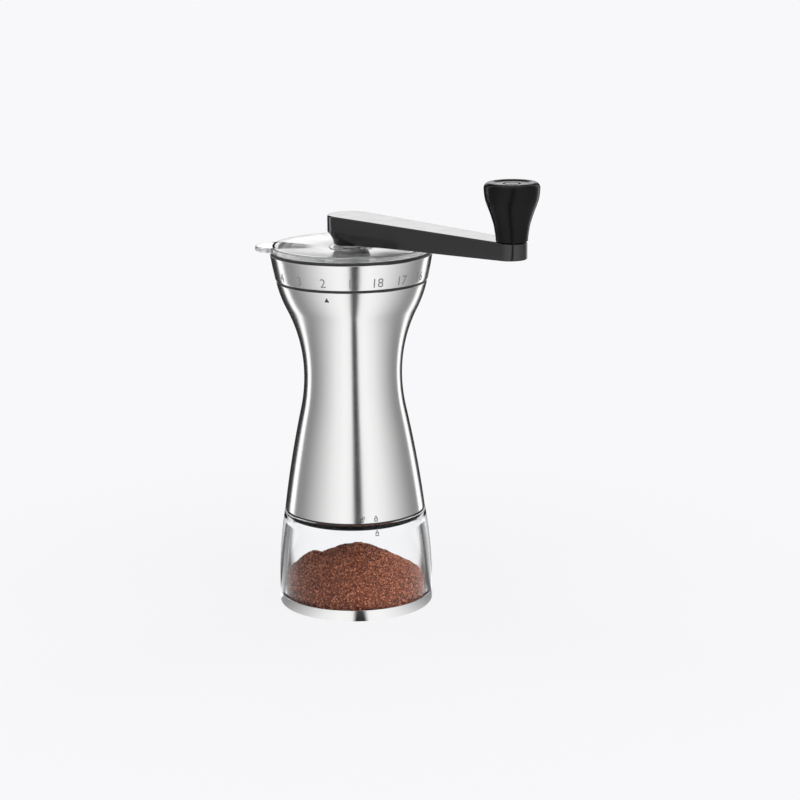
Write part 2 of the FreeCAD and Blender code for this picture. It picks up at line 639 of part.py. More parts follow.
def make_burr_spring():
    """Compression spring between the lower bearing and the cone; it takes up the play of the adjustment."""
    wire = d.spring_wire.value
    radius = d.spring_radius.value
    turns = int(d.spring_turns.value)
    low = d.cone_top.value + d.spring_seat_gap.value + wire / 2
    high = d.spider_bottom.value - d.spring_seat_gap.value - wire / 2
    pitch = (high - low) / turns
    quarters = 4 * turns

    def coil_point(quarter):
        angle = math.pi / 2 * quarter
        return FreeCAD.Vector(radius * math.cos(angle), radius * math.sin(angle), low + pitch * quarter / 4)

    def coil_way(quarter):
        angle = math.pi / 2 * quarter
        rise = pitch / (2 * math.pi * radius)
        return FreeCAD.Vector(-math.sin(angle), math.cos(angle), rise).normalize()

    edges = []
    for quarter in range(quarters):
        edges += biarc(coil_point(quarter), coil_way(quarter), coil_point(quarter + 1), coil_way(quarter + 1))
    path = Part.Wire(edges)
    section = Part.Wire(Part.Circle(coil_point(0), coil_way(0), wire / 2).toShape())
    spring = path.makePipeShell([section], True, False)
    print(f"burr_spring: least gap between turns {pitch - wire:.2f} mm")
    return shaped("burr_spring", spring)


def make_setting_ring():
    """Steel ring that carries the numbers; slightly crowned, open above and below."""
    body = new_body("setting_ring")
    spin(body, [
        (d.ring_bottom_radius, d.ring_bottom, d.ring_bend), (d.ring_top_radius, ring_top),
        (d.ring_top_radius - d.ring_wall, ring_top, -d.ring_bend),
        (d.ring_bottom_radius - d.ring_wall, d.ring_bottom)])
    return body


def make_ring_insert():
    """Moulded lining of the setting ring: pilot on the collar, thread for the carrier, seat for the lid."""
    body = new_body("ring_insert")
    pilot = d.collar_radius + d.running_clearance
    pilot_top = d.ring_bottom + d.pilot_height
    spin(body, [
        (pilot, d.ring_bottom), (d.ring_bottom_radius - d.ring_wall, d.ring_bottom, d.ring_bend),
        (d.ring_top_radius - d.ring_wall, ring_top), (d.ring_top_radius - d.seam_inset, ring_top),
        (d.ring_top_radius - d.seam_inset, insert_top), (d.thread_bore, insert_top),
        (d.thread_bore, pilot_top), (pilot, pilot_top)])
    return body


def make_lid():
    """Clear dished lid: rim, skirt, raised collar round the shaft's hole and a lifting tab at the side."""
    body = new_body("lid")
    collar = d.lid_hole + d.lid_collar_width
    under = lid_centre_top - d.lid_thickness
    skirt_inside = d.lid_skirt_radius - d.lid_skirt_wall
    spin(body, [
        (d.lid_hole, under), (skirt_inside, under), (skirt_inside, insert_top - d.lid_skirt_depth),
        (d.lid_skirt_radius, insert_top - d.lid_skirt_depth), (d.lid_skirt_radius, insert_top),
        (d.lid_radius, insert_top), (d.lid_radius, lid_rim_top),
        (d.lid_radius - d.lid_rim_width, lid_rim_top),
        (collar, lid_centre_top), (collar, lid_centre_top + d.lid_collar_height),
        (d.lid_hole, lid_centre_top + d.lid_collar_height)])
    half = d.tab_width / 2
    root_x = d.lid_radius - d.lid_rim_width
    tab = outline(new_sketch(body, "XY_Plane", lid_rim_top - d.tab_thickness), [
        (-root_x + d.lid_rim_width, half), (-root_x - d.lid_rim_width, half, d.tab_bend),
        (-d.lid_radius - d.tab_reach, as_size(0), d.tab_bend), (-root_x - d.lid_rim_width, -half),
        (-root_x + d.lid_rim_width, -half)])
    extrude(body, tab, d.tab_thickness)
    return body


def make_crank_arm():
    """Moulded arm: flat top, deep at the hub, thin at the knob, with a necked boss round the drive socket."""
    body = new_body("crank_arm")
    end_x = d.crank_length + d.arm_end_radius
    slope = d.crank_drop / d.crank_length
    side = outline(new_sketch(body, "XZ_Plane"), [
        (-d.hub_radius, d.hub_straight), (as_size(0), d.hub_straight, d.arm_belly_bend),
        (d.arm_belly, d.arm_belly_height),
        (end_x, d.arm_end_bottom), (end_x, d.crank_top - slope * end_x),
        (-d.hub_radius, d.crank_top + slope * d.hub_radius)])
    extrude(body, side, 2 * d.hub_radius, both_ways=True)
    taper = (d.hub_radius - d.arm_end_radius) / d.crank_length
    across = root(1 - taper * taper)
    plan = new_sketch(body, "XY_Plane", d.hub_bottom)
    reach = 2 * d.hub_radius
    outline(plan, rectangle(-reach, -reach, d.crank_length + reach, reach))
    hub_x, hub_y = d.hub_radius * taper, d.hub_radius * across
    tip_x, tip_y = d.crank_length + d.arm_end_radius * taper, d.arm_end_radius * across
    outline(plan, [
        (tip_x, -tip_y, d.arm_end_radius), (end_x, as_size(0), d.arm_end_radius), (tip_x, tip_y),
        (hub_x, hub_y, d.hub_radius), (-d.hub_radius, as_size(0), d.hub_radius), (hub_x, -hub_y)])
    extrude(body, plan, reach, "PartDesign::Pocket", reverse=True)
    spin(body, [
        (as_size(0), d.hub_bottom), (d.hub_neck_radius, d.hub_bottom, -d.hub_neck_bend),
        (d.hub_radius, d.hub_straight), (d.hub_radius, d.crank_top - d.arm_edge * 2),
        (as_size(0), d.crank_top - d.arm_edge * 2)])
    socket = circle(new_sketch(body, "XY_Plane", d.hub_bottom), (0, 0), d.socket_radius + d.press_play)
    socket_top = d.shaft_top + d.hex_clearance + d.socket_roof
    extrude(body, socket, socket_top - d.hub_bottom + d.press_play, "PartDesign::Pocket", reverse=True)
    pin_bottom = d.crank_top - d.crank_drop - d.pin_depth
    pin_hole = circle(new_sketch(body, "XY_Plane", pin_bottom), (d.crank_length, as_size(0)), d.pin_radius)
    extrude(body, pin_hole, 2 * d.pin_depth, "PartDesign::Pocket", reverse=True)
    top = d.crank_top.value - d.crank_drop.value - d.arm_edge.value / 2
    pin_rim = 2 * math.pi * d.pin_radius.value
    soften(body, d.arm_edge, lambda edge: edge.BoundBox.ZMin > top and edge.Length > 1.1 * pin_rim)
    return body


def make_hub_socket():
    """Steel insert of the hub with the hexagon that drops over the shaft."""
    roof = d.shaft_top + d.hex_clearance
    body = new_body("hub_socket")
    blank = circle(new_sketch(body, "XY_Plane", d.socket_bottom), (0, 0), d.socket_radius)
    extrude(body, blank, roof + d.socket_roof - d.socket_bottom)
    hole = hexagon(new_sketch(body, "XY_Plane", d.socket_bottom), d.hex_flats + 2 * d.hex_clearance)
    extrude(body, hole, roof - d.socket_bottom, "PartDesign::Pocket", reverse=True)
    return body


def make_knob_pin():
    """Steel pin fast in the arm; its head keeps the turning knob on."""
    body = new_body("knob_pin")
    bottom = d.crank_top - d.crank_drop - d.pin_depth
    axis = as_size(0)
    spin(body, [
        (axis, bottom), (d.pin_radius, bottom), (d.pin_radius, pin_top - d.pin_head_height),
        (d.pin_head_radius, pin_top - d.pin_head_height), (d.pin_head_radius, pin_top), (axis, pin_top)])
    return body


def make_knob():
    """Flared knob: slim foot, hollow sides, rounded rim, and a well for the pin's head under the cap."""
    body = new_body("knob")
    bore = d.pin_radius + d.running_clearance
    well = knob_bottom + d.knob_bore_floor
    seat = knob_top - d.cap_thickness
    rim = knob_bottom + d.knob_rim_rise
    cap_seat = d.cap_radius + d.running_clearance
    spin(body, [
        (bore, knob_bottom), (d.knob_foot_radius, knob_bottom),
        (d.knob_foot_radius, knob_bottom + d.knob_waist_rise, -d.knob_bend),
        (d.knob_rim_radius, rim, d.knob_rim_bend),
        (d.knob_rim_radius - d.knob_rim_bend + d.cap_dish, knob_top), (cap_seat, knob_top), (cap_seat, seat),
        (d.knob_well_radius, seat), (d.knob_well_radius, well), (bore, well)])
    return body


def make_knob_cap():
    body = new_body("knob_cap")
    bottom = knob_top - d.cap_thickness
    axis = as_size(0)
    spin(body, [
        (axis, bottom), (d.cap_radius, bottom), (d.cap_radius, knob_top),
        (d.cap_radius - d.cap_dish, knob_top),
        (d.knob_well_radius, knob_top - d.cap_dish), (axis, knob_top - d.cap_dish)])
    return body


def make_jar():
    """Thick clear jar with a foot for the steel base, a neck and three bayonet lugs."""
    body = new_body("jar")
    foot = d.base_radius - d.base_wall
    foot_bottom = d.base_wall
    floor = d.base_height + d.jar_floor
    neck_bore = d.neck_radius - d.neck_wall
    spin(body, [
        (as_size(0), foot_bottom), (foot - d.base_edge, foot_bottom), (foot, foot_bottom + d.base_edge),
        (foot, d.base_height), (d.base_radius, d.base_height, d.jar_bend), (d.jar_top_radius, d.jar_height),
        (d.neck_radius, d.jar_height), (d.neck_radius, neck_top), (neck_bore, neck_top),
        (neck_bore, d.jar_height), (d.jar_top_radius - d.jar_wall, d.jar_height - d.jar_wall, -d.jar_bend),
        (d.base_radius - d.jar_wall, floor + d.jar_floor),
        (d.base_radius - d.jar_wall - d.jar_floor, floor), (as_size(0), floor)])
    lug = spin(body, rectangle(d.neck_radius - d.neck_wall / 2, lug_bottom,
                               d.neck_radius + d.lug_reach, lug_top), angle=d.lug_angle)
    repeat(body, lug, THREE_FOLD)
    return body


def make_base_cap():
    """Steel cup pressed on the jar's foot; the grinder stands on its flat underside."""
    body = new_body("base_cap")
    inside = d.base_radius - d.base_wall
    axis = as_size(0)
    spin(body, [
        (axis, axis), (d.base_radius - d.base_edge, axis, d.base_edge), (d.base_radius, d.base_edge),
        (d.base_radius, d.base_height), (inside, d.base_height), (inside, d.base_wall + d.base_edge),
        (inside - d.base_edge, d.base_wall), (axis, d.base_wall)])
    return body


def make_coffee_grounds():
    """Heap of ground coffee with a second, lower peak beside the main one."""
    body = new_body("coffee_grounds")
    floor = d.base_height + d.jar_floor + d.heap_gap
    wall = d.base_radius - d.jar_wall - d.jar_floor - d.heap_gap
    axis = as_size(0)
    spin(body, [
        (axis, floor), (wall, floor), (wall, floor + d.heap_wall_height),
        (d.heap_crown, floor + d.heap_peak - d.heap_crown / 4), (axis, floor + d.heap_peak)])
    side = new_sketch(body, "XY_Plane", floor)
    circle(side, (-d.heap_side_offset, as_size(0)), d.heap_side_radius)
    peak = new_sketch(body, "XY_Plane", floor + d.heap_side_peak)
    circle(peak, (-d.heap_side_offset, as_size(0)), d.heap_side_radius / 6)
    loft = body.newObject("PartDesign::AdditiveLoft", "SidePeak")
    loft.Profile = side
    loft.Sections = [peak]
    doc.recompute()
    return body


knob_washer_bottom = knob_bottom + d.knob_bore_floor
makers = [
    make_body_shell, make_hopper_liner, make_mill_frame, make_outer_burr, make_burr_retainer,
    make_retainer_screws, make_bearing_carrier, make_drive_shaft, make_shaft_circlip, make_inner_burr,
    make_burr_spring, make_burr_nut, make_setting_ring, make_ring_insert, make_lid, make_crank_arm,
    make_hub_socket, make_knob_pin, make_knob, make_knob_cap, make_jar, make_base_cap, make_coffee_grounds]
pieces = [make() for make in makers]
pieces.append(make_bush("lower_bearing", d.spider_bottom, spider_top))
pieces.append(make_bush("upper_bearing", d.carrier_bottom, carrier_hub_top))
pieces.append(ring_body("thrust_washer", bush_bore, bush_radius + d.bush_flange,
                        carrier_hub_top + d.bush_flange / 2,
                        carrier_hub_top + d.bush_flange / 2 + d.thrust_washer_thickness))
pieces.append(ring_body("knob_washer", d.pin_radius + d.running_clearance, d.washer_radius,
                        knob_washer_bottom, knob_washer_bottom + d.washer_thickness))

# The arm is drawn along +X from the shaft; the knob and its fixings are drawn on the upright axis.
turn = FreeCAD.Rotation(FreeCAD.Vector(0, 0, -1), d.crank_angle.value)
knob_x = d.crank_length * cosine(d.crank_angle)
knob_y = -d.crank_length * sine(d.crank_angle)
for piece in pieces:
    if piece.Label == "crank_arm":
        piece.Placement = FreeCAD.Placement(FreeCAD.Vector(), turn)
        piece.setExpression("Placement.Rotation.Angle", d.crank_angle.formula)
    elif piece.Label in ("knob", "knob_cap", "knob_pin", "knob_washer"):
        piece.Placement = FreeCAD.Placement(FreeCAD.Vector(knob_x.value, knob_y.value, 0), FreeCAD.Rotation())
        piece.setExpression("Placement.Base.x", knob_x.formula)
        piece.setExpression("Placement.Base.y", knob_y.formula)

doc.recompute()
for item in doc.Objects:
    faults = [state for state in item.State if state in ("Invalid", "Error")]
    assert not faults, f"{item.Label}: {faults}"
for piece in pieces:
    assert not piece.Shape.isNull() and piece.Shape.isValid(), f"{piece.Label}: bad shape"

os.makedirs("parts", exist_ok=True)
for piece in pieces:
    piece.Shape.exportStep(f"parts/{piece.Label}.step")
    print(f"{piece.Label}: {len(piece.Shape.Solids)} solid, {piece.Shape.Volume:.1f} mm3")
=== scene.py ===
import math

import bmesh
import bpy
from mathutils import Matrix, Vector, noise


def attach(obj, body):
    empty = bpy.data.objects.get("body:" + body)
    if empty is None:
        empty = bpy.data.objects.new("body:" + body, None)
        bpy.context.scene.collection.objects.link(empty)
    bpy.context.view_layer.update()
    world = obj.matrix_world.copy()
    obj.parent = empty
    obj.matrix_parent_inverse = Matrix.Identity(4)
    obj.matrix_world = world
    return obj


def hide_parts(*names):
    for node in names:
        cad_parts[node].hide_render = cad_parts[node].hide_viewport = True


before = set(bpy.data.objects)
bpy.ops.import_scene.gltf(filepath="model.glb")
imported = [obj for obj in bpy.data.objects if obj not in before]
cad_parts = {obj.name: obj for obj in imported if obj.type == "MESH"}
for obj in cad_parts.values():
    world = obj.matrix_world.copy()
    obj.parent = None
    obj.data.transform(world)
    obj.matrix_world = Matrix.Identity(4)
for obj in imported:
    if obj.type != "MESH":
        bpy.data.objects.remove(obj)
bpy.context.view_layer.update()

scene = bpy.context.scene
mm = 0.001
fullTurn = 2 * math.pi
print("frame loaded:", len(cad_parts), "nodes")


# small helpers for outlines and meshes

def arcPoints(start, end, bend, steps):
    # points after start up to end; a positive bend turns left, a negative one right
    chordX, chordZ = end[0] - start[0], end[1] - start[1]
    chord = math.hypot(chordX, chordZ)
    reach = math.copysign(math.sqrt(bend * bend - chord * chord / 4), bend)
    centreX = (start[0] + end[0]) / 2 - chordZ / chord * reach
    centreZ = (start[1] + end[1]) / 2 + chordX / chord * reach
    first = math.atan2(start[1] - centreZ, start[0] - centreX)
    sweep = math.copysign(2 * math.asin(chord / 2 / abs(bend)), bend)
    return [(centreX + abs(bend) * math.cos(first + sweep * k / steps),
             centreZ + abs(bend) * math.sin(first + sweep * k / steps)) for k in range(1, steps + 1)]


def softened(corners, steps=6):
    # rounds each corner that has a third value, the radius of its round
    rounded = []
    count = len(corners)
    for i, corner in enumerate(corners):
        here = Vector(corner[:2])
        if len(corner) < 3 or corner[2] == 0:
            rounded.append(tuple(here))
            continue
        before = (Vector(corners[i - 1][:2]) - here).normalized()
        after = (Vector(corners[(i + 1) % count][:2]) - here).normalized()
        half = before.angle(after) / 2
        away = (before + after).normalized()
        centre = here + away * (corner[2] / math.sin(half))
        start = here + before * (corner[2] / math.tan(half))
        end = here + after * (corner[2] / math.tan(half))
        fan = (start - centre).angle_signed(end - centre)
        for k in range(steps + 1):
            spoke = (start - centre).copy()
            spoke.rotate(Matrix.Rotation(-fan * k / steps, 2))
            rounded.append(tuple(centre + spoke))
    return rounded


def lipped(points, first, last):
    # a line of points with the rounds of its two ends
    return [(*points[0], first)] + points[1:-1] + [(*points[-1], last)]


def added(name, data):
    obj = bpy.data.objects.new(name, data)
    scene.collection.objects.link(obj)
    return obj


def meshObject(name, points, faces, smooth=True):
    mesh = bpy.data.meshes.new(name)
    mesh.from_pydata(points, [], faces)
    mesh.update()
    if smooth:
        mesh.shade_smooth()
    return added(name, mesh)


def evaluatedMesh(obj):
    # the plain mesh of an object with its modifiers
    bpy.context.view_layer.update()
    graph = bpy.context.evaluated_depsgraph_get()
    return bpy.data.meshes.new_from_object(obj.evaluated_get(graph))


def bands(rows):
    # four-sided faces between neighbouring closed rows of points
    faces = []
    for low, high in zip(rows, rows[1:]):
        count = len(low)
        faces += [(low[k], low[(k + 1) % count], high[(k + 1) % count], high[k]) for k in range(count)]
    return faces


def sharpen(obj, degrees=35):
    # keeps the corners crisp and the curved faces smooth
    mesh = obj.data
    tool = bmesh.new()
    tool.from_mesh(mesh)
    bmesh.ops.recalc_face_normals(tool, faces=tool.faces)
    for edge in tool.edges:
        if len(edge.link_faces) == 2:
            edge.smooth = edge.calc_face_angle(0) < math.radians(degrees)
    tool.to_mesh(mesh)
    tool.free()
    return obj


def lathe(name, profile, segments=192, centre=(0, 0), closed=True, reach=None):
    # turns radii and heights in millimetres about an upright axis; reach may change a radius at an angle
    points, faces, rows = [], [], []
    for r, z in profile:
        if r < 1e-6:
            rows.append([len(points)])
            points.append((centre[0] * mm, centre[1] * mm, z * mm))
            continue
        row = []
        for s in range(segments):
            angle = fullTurn * s / segments
            wide = reach(r, z, angle) if reach else r
            row.append(len(points))
            x, y = centre[0] + wide * math.cos(angle), centre[1] + wide * math.sin(angle)
            points.append((x * mm, y * mm, z * mm))
        rows.append(row)
    pairs = list(zip(rows, rows[1:])) + ([(rows[-1], rows[0])] if closed else [])
    lengths = [0.0]
    ring = profile + ([profile[0]] if closed else [])
    for a, b in zip(ring, ring[1:]):
        lengths.append(lengths[-1] + math.dist(a, b))
    places = []
    for k, (low, high) in enumerate(pairs):
        if len(low) == 1 and len(high) == 1:
            continue
        for s in range(segments):
            t = (s + 1) % segments
            if len(low) == 1:
                face, corners = (low[0], high[t], high[s]), ((s, k), (s + 1, k + 1), (s, k + 1))
            elif len(high) == 1:
                face, corners = (low[s], low[t], high[0]), ((s, k), (s + 1, k), (s, k + 1))
            else:
                face = (low[s], low[t], high[t], high[s])
                corners = ((s, k), (s + 1, k), (s + 1, k + 1), (s, k + 1))
            faces.append(face)
            places.extend((c / segments, lengths[row] / 100) for c, row in corners)
    obj = meshObject(name, points, faces)
    layer = obj.data.uv_layers.new(name="wrap")
    for loop, place in zip(layer.data, places):
        loop.uv = place
    return sharpen(obj)


def joined(name, objects):
    # several meshes become one piece
    tool = bmesh.new()
    for obj in objects:
        tool.from_mesh(obj.data)
    mesh = bpy.data.meshes.new(name)
    tool.to_mesh(mesh)
    tool.free()
    for obj in objects:
        old = obj.data
        bpy.data.objects.remove(obj)
        bpy.data.meshes.remove(old)
    return added(name, mesh)


def dressed(obj, material, body, slot, *nodes):
    obj.data.materials.clear()
    obj.data.materials.append(material)
    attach(obj, body)
    if nodes:
        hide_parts(*nodes)
    return obj


# materials

def newMaterial(name):
    material = bpy.data.materials.new(name)
    material.use_nodes = True
    tree = material.node_tree
    shader = tree.nodes["Principled BSDF"]
    return material, tree, shader


def linkNode(tree, kind, inputs=None, **settings):
    node = tree.nodes.new(kind)
    for key, value in settings.items():
        setattr(node, key, value)
    for key, value in (inputs or {}).items():
        socket = node.inputs[key]
        if isinstance(value, bpy.types.NodeSocket):
            tree.links.new(value, socket)
        else:
            socket.default_value = value
    return node


def mathNode(tree, operation, *values, clamp=False):
    node = linkNode(tree, "ShaderNodeMath", dict(enumerate(values)), operation=operation, use_clamp=clamp)
    return node.outputs[0]


def bumpNode(tree, height, strength, distance):
    values = {"Height": height, "Strength": strength, "Distance": distance}
    return linkNode(tree, "ShaderNodeBump", values).outputs[0]


def stretchedNoise(tree, source, stretch, detail):
    spread = linkNode(tree, "ShaderNodeMapping", {"Vector": source, "Scale": stretch})
    return linkNode(tree, "ShaderNodeTexNoise", {"Vector": spread.outputs[0], "Scale": 1.0, "Detail": detail})


def between(tree, source, low, high, lowIn=0.3, highIn=0.7):
    return linkNode(tree, "ShaderNodeMapRange", {
        "Value": source, "From Min": lowIn, "From Max": highIn, "To Min": low, "To Max": high}).outputs[0]


def tinted(tree, factor, low, high):
    node = linkNode(tree, "ShaderNodeMix", {"Factor": factor}, data_type="RGBA")
    node.inputs[6].default_value = low
    node.inputs[7].default_value = high
    return node.outputs[2]


steelLook = {
    "tone": (0.69, 0.69, 0.685, 1), "toneDark": (0.63, 0.63, 0.63, 1),
    "roughLow": 0.17, "roughHigh": 0.23, "anisotropic": 0.6, "brushTurn": 0.25,
    "brush": (6.0, 900.0, 1.0), "smudge": (5.0, 3.0, 1.0), "drift": 0.02,
    "bump": 0.015, "bumpHeight": 0.0002,
}


def steelMaterial(name, look):
    material, tree, shader = newMaterial(name)
    wrap = linkNode(tree, "ShaderNodeUVMap", uv_map="wrap").outputs[0]
    brush = stretchedNoise(tree, wrap, look["brush"], 3.0)
    smudge = stretchedNoise(tree, wrap, look["smudge"], 2.0)
    tone = tinted(tree, brush.outputs[0], look["toneDark"], look["tone"])
    tree.links.new(tone, shader.inputs["Base Color"])
    grain = between(tree, brush.outputs[0], look["roughLow"], look["roughHigh"])
    drift = between(tree, smudge.outputs[0], -look["drift"], look["drift"])
    tree.links.new(mathNode(tree, "ADD", grain, drift), shader.inputs["Roughness"])
    bump = bumpNode(tree, brush.outputs[0], look["bump"], look["bumpHeight"])
    tree.links.new(bump, shader.inputs["Normal"])
    shader.inputs["Metallic"].default_value = 1.0
    shader.inputs["Anisotropic"].default_value = look["anisotropic"]
    shader.inputs["Anisotropic Rotation"].default_value = look["brushTurn"]
    tangent = linkNode(tree, "ShaderNodeTangent", direction_type="RADIAL", axis="Z")
    tree.links.new(tangent.outputs[0], shader.inputs["Tangent"])
    return material


grainLook = {"broader": 30, "reliefHeight": 0.00005}


def grainyMaterial(name, low, high, roughLow, roughHigh, scale, bump, metallic=0.0, gloss=0.5):
    # plastic, ceramic or plain metal with a fine grain in its colour, gloss and surface
    material, tree, shader = newMaterial(name)
    place = linkNode(tree, "ShaderNodeTexCoord").outputs["Object"]
    fine = stretchedNoise(tree, place, [scale] * 3, 4.0)
    broad = stretchedNoise(tree, place, [scale / grainLook["broader"]] * 3, 2.0)
    tree.links.new(tinted(tree, broad.outputs[0], low, high), shader.inputs["Base Color"])
    tree.links.new(between(tree, broad.outputs[0], roughLow, roughHigh), shader.inputs["Roughness"])
    relief = bumpNode(tree, fine.outputs[0], bump, grainLook["reliefHeight"])
    tree.links.new(relief, shader.inputs["Normal"])
    shader.inputs["Metallic"].default_value = metallic
    shader.inputs["Specular IOR Level"].default_value = gloss
    return material


clearLook = {"haze": 60, "ripple": 25, "wave": 0.02, "waveHeight": 0.0004}


def clearMaterial(name, tint, ior, roughLow, roughHigh, mirror, clarity):
    material, tree, shader = newMaterial(name)
    place = linkNode(tree, "ShaderNodeTexCoord").outputs["Object"]
    haze = stretchedNoise(tree, place, [clearLook["haze"]] * 3, 3.0)
    tree.links.new(between(tree, haze.outputs[0], roughLow, roughHigh), shader.inputs["Roughness"])
    ripple = stretchedNoise(tree, place, [clearLook["ripple"]] * 3, 1.0)
    wave = bumpNode(tree, ripple.outputs[0], clearLook["wave"], clearLook["waveHeight"])
    tree.links.new(wave, shader.inputs["Normal"])
    shader.inputs["Base Color"].default_value = tint
    shader.inputs["IOR"].default_value = ior
    shader.inputs["Transmission Weight"].default_value = clarity
    shader.inputs["Specular Tint"].default_value = (mirror, mirror, mirror, 1)
    return material


coffeeLook = {
    "dark": (0.035, 0.011, 0.007, 1), "middle": (0.25, 0.076, 0.040, 1), "pale": (0.52, 0.2, 0.11, 1),
    "darkAt": 0.26, "middleAt": 0.50, "paleAt": 0.76, "speck": 1800, "relief": 0.5, "reliefHeight": 0.0002,
    "rough": 0.85, "gloss": 0.2,
}


def coffeeMaterial(name, look):
    material, tree, shader = newMaterial(name)
    place = linkNode(tree, "ShaderNodeTexCoord").outputs["Object"]
    tone = linkNode(tree, "ShaderNodeAttribute", attribute_name="grainTone", attribute_type="GEOMETRY")
    speck = stretchedNoise(tree, place, [look["speck"]] * 3, 3.0)
    mixed = mathNode(tree, "ADD", tone.outputs["Fac"], speck.outputs[0])
    ramp = linkNode(tree, "ShaderNodeValToRGB", {"Fac": mathNode(tree, "MULTIPLY", mixed, 0.5)})
    ramp.color_ramp.elements[0].position = look["darkAt"]
    ramp.color_ramp.elements[0].color = look["dark"]
    ramp.color_ramp.elements[1].position = look["paleAt"]
    ramp.color_ramp.elements[1].color = look["pale"]
    ramp.color_ramp.elements.new(look["middleAt"]).color = look["middle"]
    tree.links.new(ramp.outputs[0], shader.inputs["Base Color"])
    relief = bumpNode(tree, speck.outputs[0], look["relief"], look["reliefHeight"])
    tree.links.new(relief, shader.inputs["Normal"])
    shader.inputs["Roughness"].default_value = look["rough"]
    shader.inputs["Specular IOR Level"].default_value = look["gloss"]
    return material


# grainy ones: dark and pale tone, least and most roughness, scale of the grain, relief, metal
# clear ones: tint, refraction, least and most roughness, strength of the mirror, clearness
steel = steelMaterial("satinSteel", steelLook)
blackPlastic = grainyMaterial(
    "blackPlastic", (0.003, 0.003, 0.0032, 1), (0.005, 0.005, 0.0053, 1), 0.22, 0.28, 5000, 0.008, gloss=0.12)
# the arm's copy of the black plastic has a lighter base colour than the knob's, painted light on the arm's side
# faces
armPlasticPaintedLight = grainyMaterial(
    "armPlasticPaintedLight", (0.010, 0.010, 0.0105, 1), (0.015, 0.015, 0.0155, 1), 0.12, 0.16, 5000, 0.006)
seamPlastic = grainyMaterial(
    "seamPlastic", (0.008, 0.008, 0.009, 1), (0.013, 0.013, 0.014, 1), 0.45, 0.55, 2500, 0.05)
linerPlastic = grainyMaterial(
    "linerPlastic", (0.045, 0.045, 0.047, 1), (0.06, 0.06, 0.062, 1), 0.45, 0.55, 2500, 0.08)
clearPlastic = clearMaterial("clearPlastic", (0.985, 0.99, 0.99, 1), 1.49, 0.0, 0.012, 0.12, 1.0)
# the lid lets nine tenths through as clear plastic; the last tenth shows as whitish diffuse colour, a painted
# sheen
lidPlasticPaintedSheen = clearMaterial("lidPlasticPaintedSheen", (0.97, 0.975, 0.975, 1), 1.49, 0.08, 0.14, 0.6, 0.9)
burrCeramic = grainyMaterial(
    "burrCeramic", (0.70, 0.69, 0.66, 1), (0.80, 0.79, 0.76, 1), 0.35, 0.5, 1500, 0.1)
shaftSteel = grainyMaterial(
    "shaftSteel", (0.50, 0.50, 0.50, 1), (0.58, 0.58, 0.58, 1), 0.2, 0.3, 3000, 0.05, 1.0)
springSteel = grainyMaterial(
    "springSteel", (0.40, 0.40, 0.41, 1), (0.48, 0.48, 0.49, 1), 0.22, 0.32, 3000, 0.05, 1.0)
bronze = grainyMaterial(
    "sinteredBronze", (0.42, 0.26, 0.12, 1), (0.52, 0.34, 0.17, 1), 0.35, 0.5, 4000, 0.15, 1.0)
coffee = coffeeMaterial("groundCoffee", coffeeLook)
etchGrey = grainyMaterial(
    "etchGrey", (0.21, 0.21, 0.21, 1), (0.27, 0.27, 0.27, 1), 0.5, 0.65, 3000, 0.2)
markBlack = grainyMaterial(
    "markBlack", (0.02, 0.02, 0.02, 1), (0.03, 0.03, 0.03, 1), 0.45, 0.6, 3000, 0.1)
print("materials made")


# steel skin: body, setting ring and base
bodySize = {
    "bottom": 42.0, "bottomRadius": 29.95, "waist": 100.0, "waistRadius": 20.8,
    "top": 140.2, "topRadius": 31.75, "lowLean": 1.39, "bottomLean": 0.82,
    "highLean": 1.76, "topLean": 0.81, "wall": 0.8, "lip": 0.25, "steps": 20,
}


def swell(waist, end, steepest, last, up, steps):
    # two tangent arcs from the upright waist to an end
    run, rise = end[0] - waist[0], up * (end[1] - waist[1])
    mean = math.atan2(run, rise)
    steep, flat = mean * steepest, mean * last
    first = (1 - math.cos(steep), math.sin(steep))
    second = (math.cos(flat) - math.cos(steep), math.sin(steep) - math.sin(flat))
    measure = first[0] * second[1] - second[0] * first[1]
    waistBend = (run * second[1] - rise * second[0]) / measure
    endBend = (first[0] * rise - first[1] * run) / measure
    turn = (waist[0] + waistBend * first[0], waist[1] + up * waistBend * first[1])
    near = arcPoints(waist, turn, -up * waistBend, steps)
    return [waist] + near + arcPoints(turn, end, up * endBend, steps)


def hourglass(inset):
    size = bodySize
    waist = (size["waistRadius"] - inset, size["waist"])
    foot = (size["bottomRadius"] - inset, size["bottom"])
    head = (size["topRadius"] - inset, size["top"])
    low = swell(waist, foot, size["lowLean"], size["bottomLean"], -1, size["steps"])
    high = swell(waist, head, size["highLean"], size["topLean"], 1, size["steps"])
    return low[::-1] + high[1:]


def radiusOn(profile, height):
    for (r0, z0), (r1, z1) in zip(profile, profile[1:]):
        if min(z0, z1) <= height <= max(z0, z1):
            return r0 + (r1 - r0) * (height - z0) / (z1 - z0)
    return profile[-1][0]


bodyOutside = hourglass(0)
bodyInside = hourglass(bodySize["wall"])
bodyProfile = softened(lipped(bodyOutside, bodySize["lip"], bodySize["lip"]) + bodyInside[::-1], 4)
dressed(lathe("bodySkin", bodyProfile, 256), steel, "housing", "steel", "body_shell")

ringSize = {
    "bottom": 141.3, "top": 151.8, "bottomRadius": 32.05, "topRadius": 34.1,
    "wall": 0.9, "bend": 150.0, "lip": 0.22,
}
ringOutside = [(ringSize["bottomRadius"], ringSize["bottom"])]
ringOutside += arcPoints(ringOutside[0], (ringSize["topRadius"], ringSize["top"]), ringSize["bend"], 10)
ringInside = [(r - ringSize["wall"], z) for r, z in ringOutside]
ringProfile = softened(lipped(ringOutside, ringSize["lip"], ringSize["lip"]) + ringInside[::-1], 4)
dressed(lathe("settingRingSkin", ringProfile, 256), steel, "ring", "steel", "setting_ring")

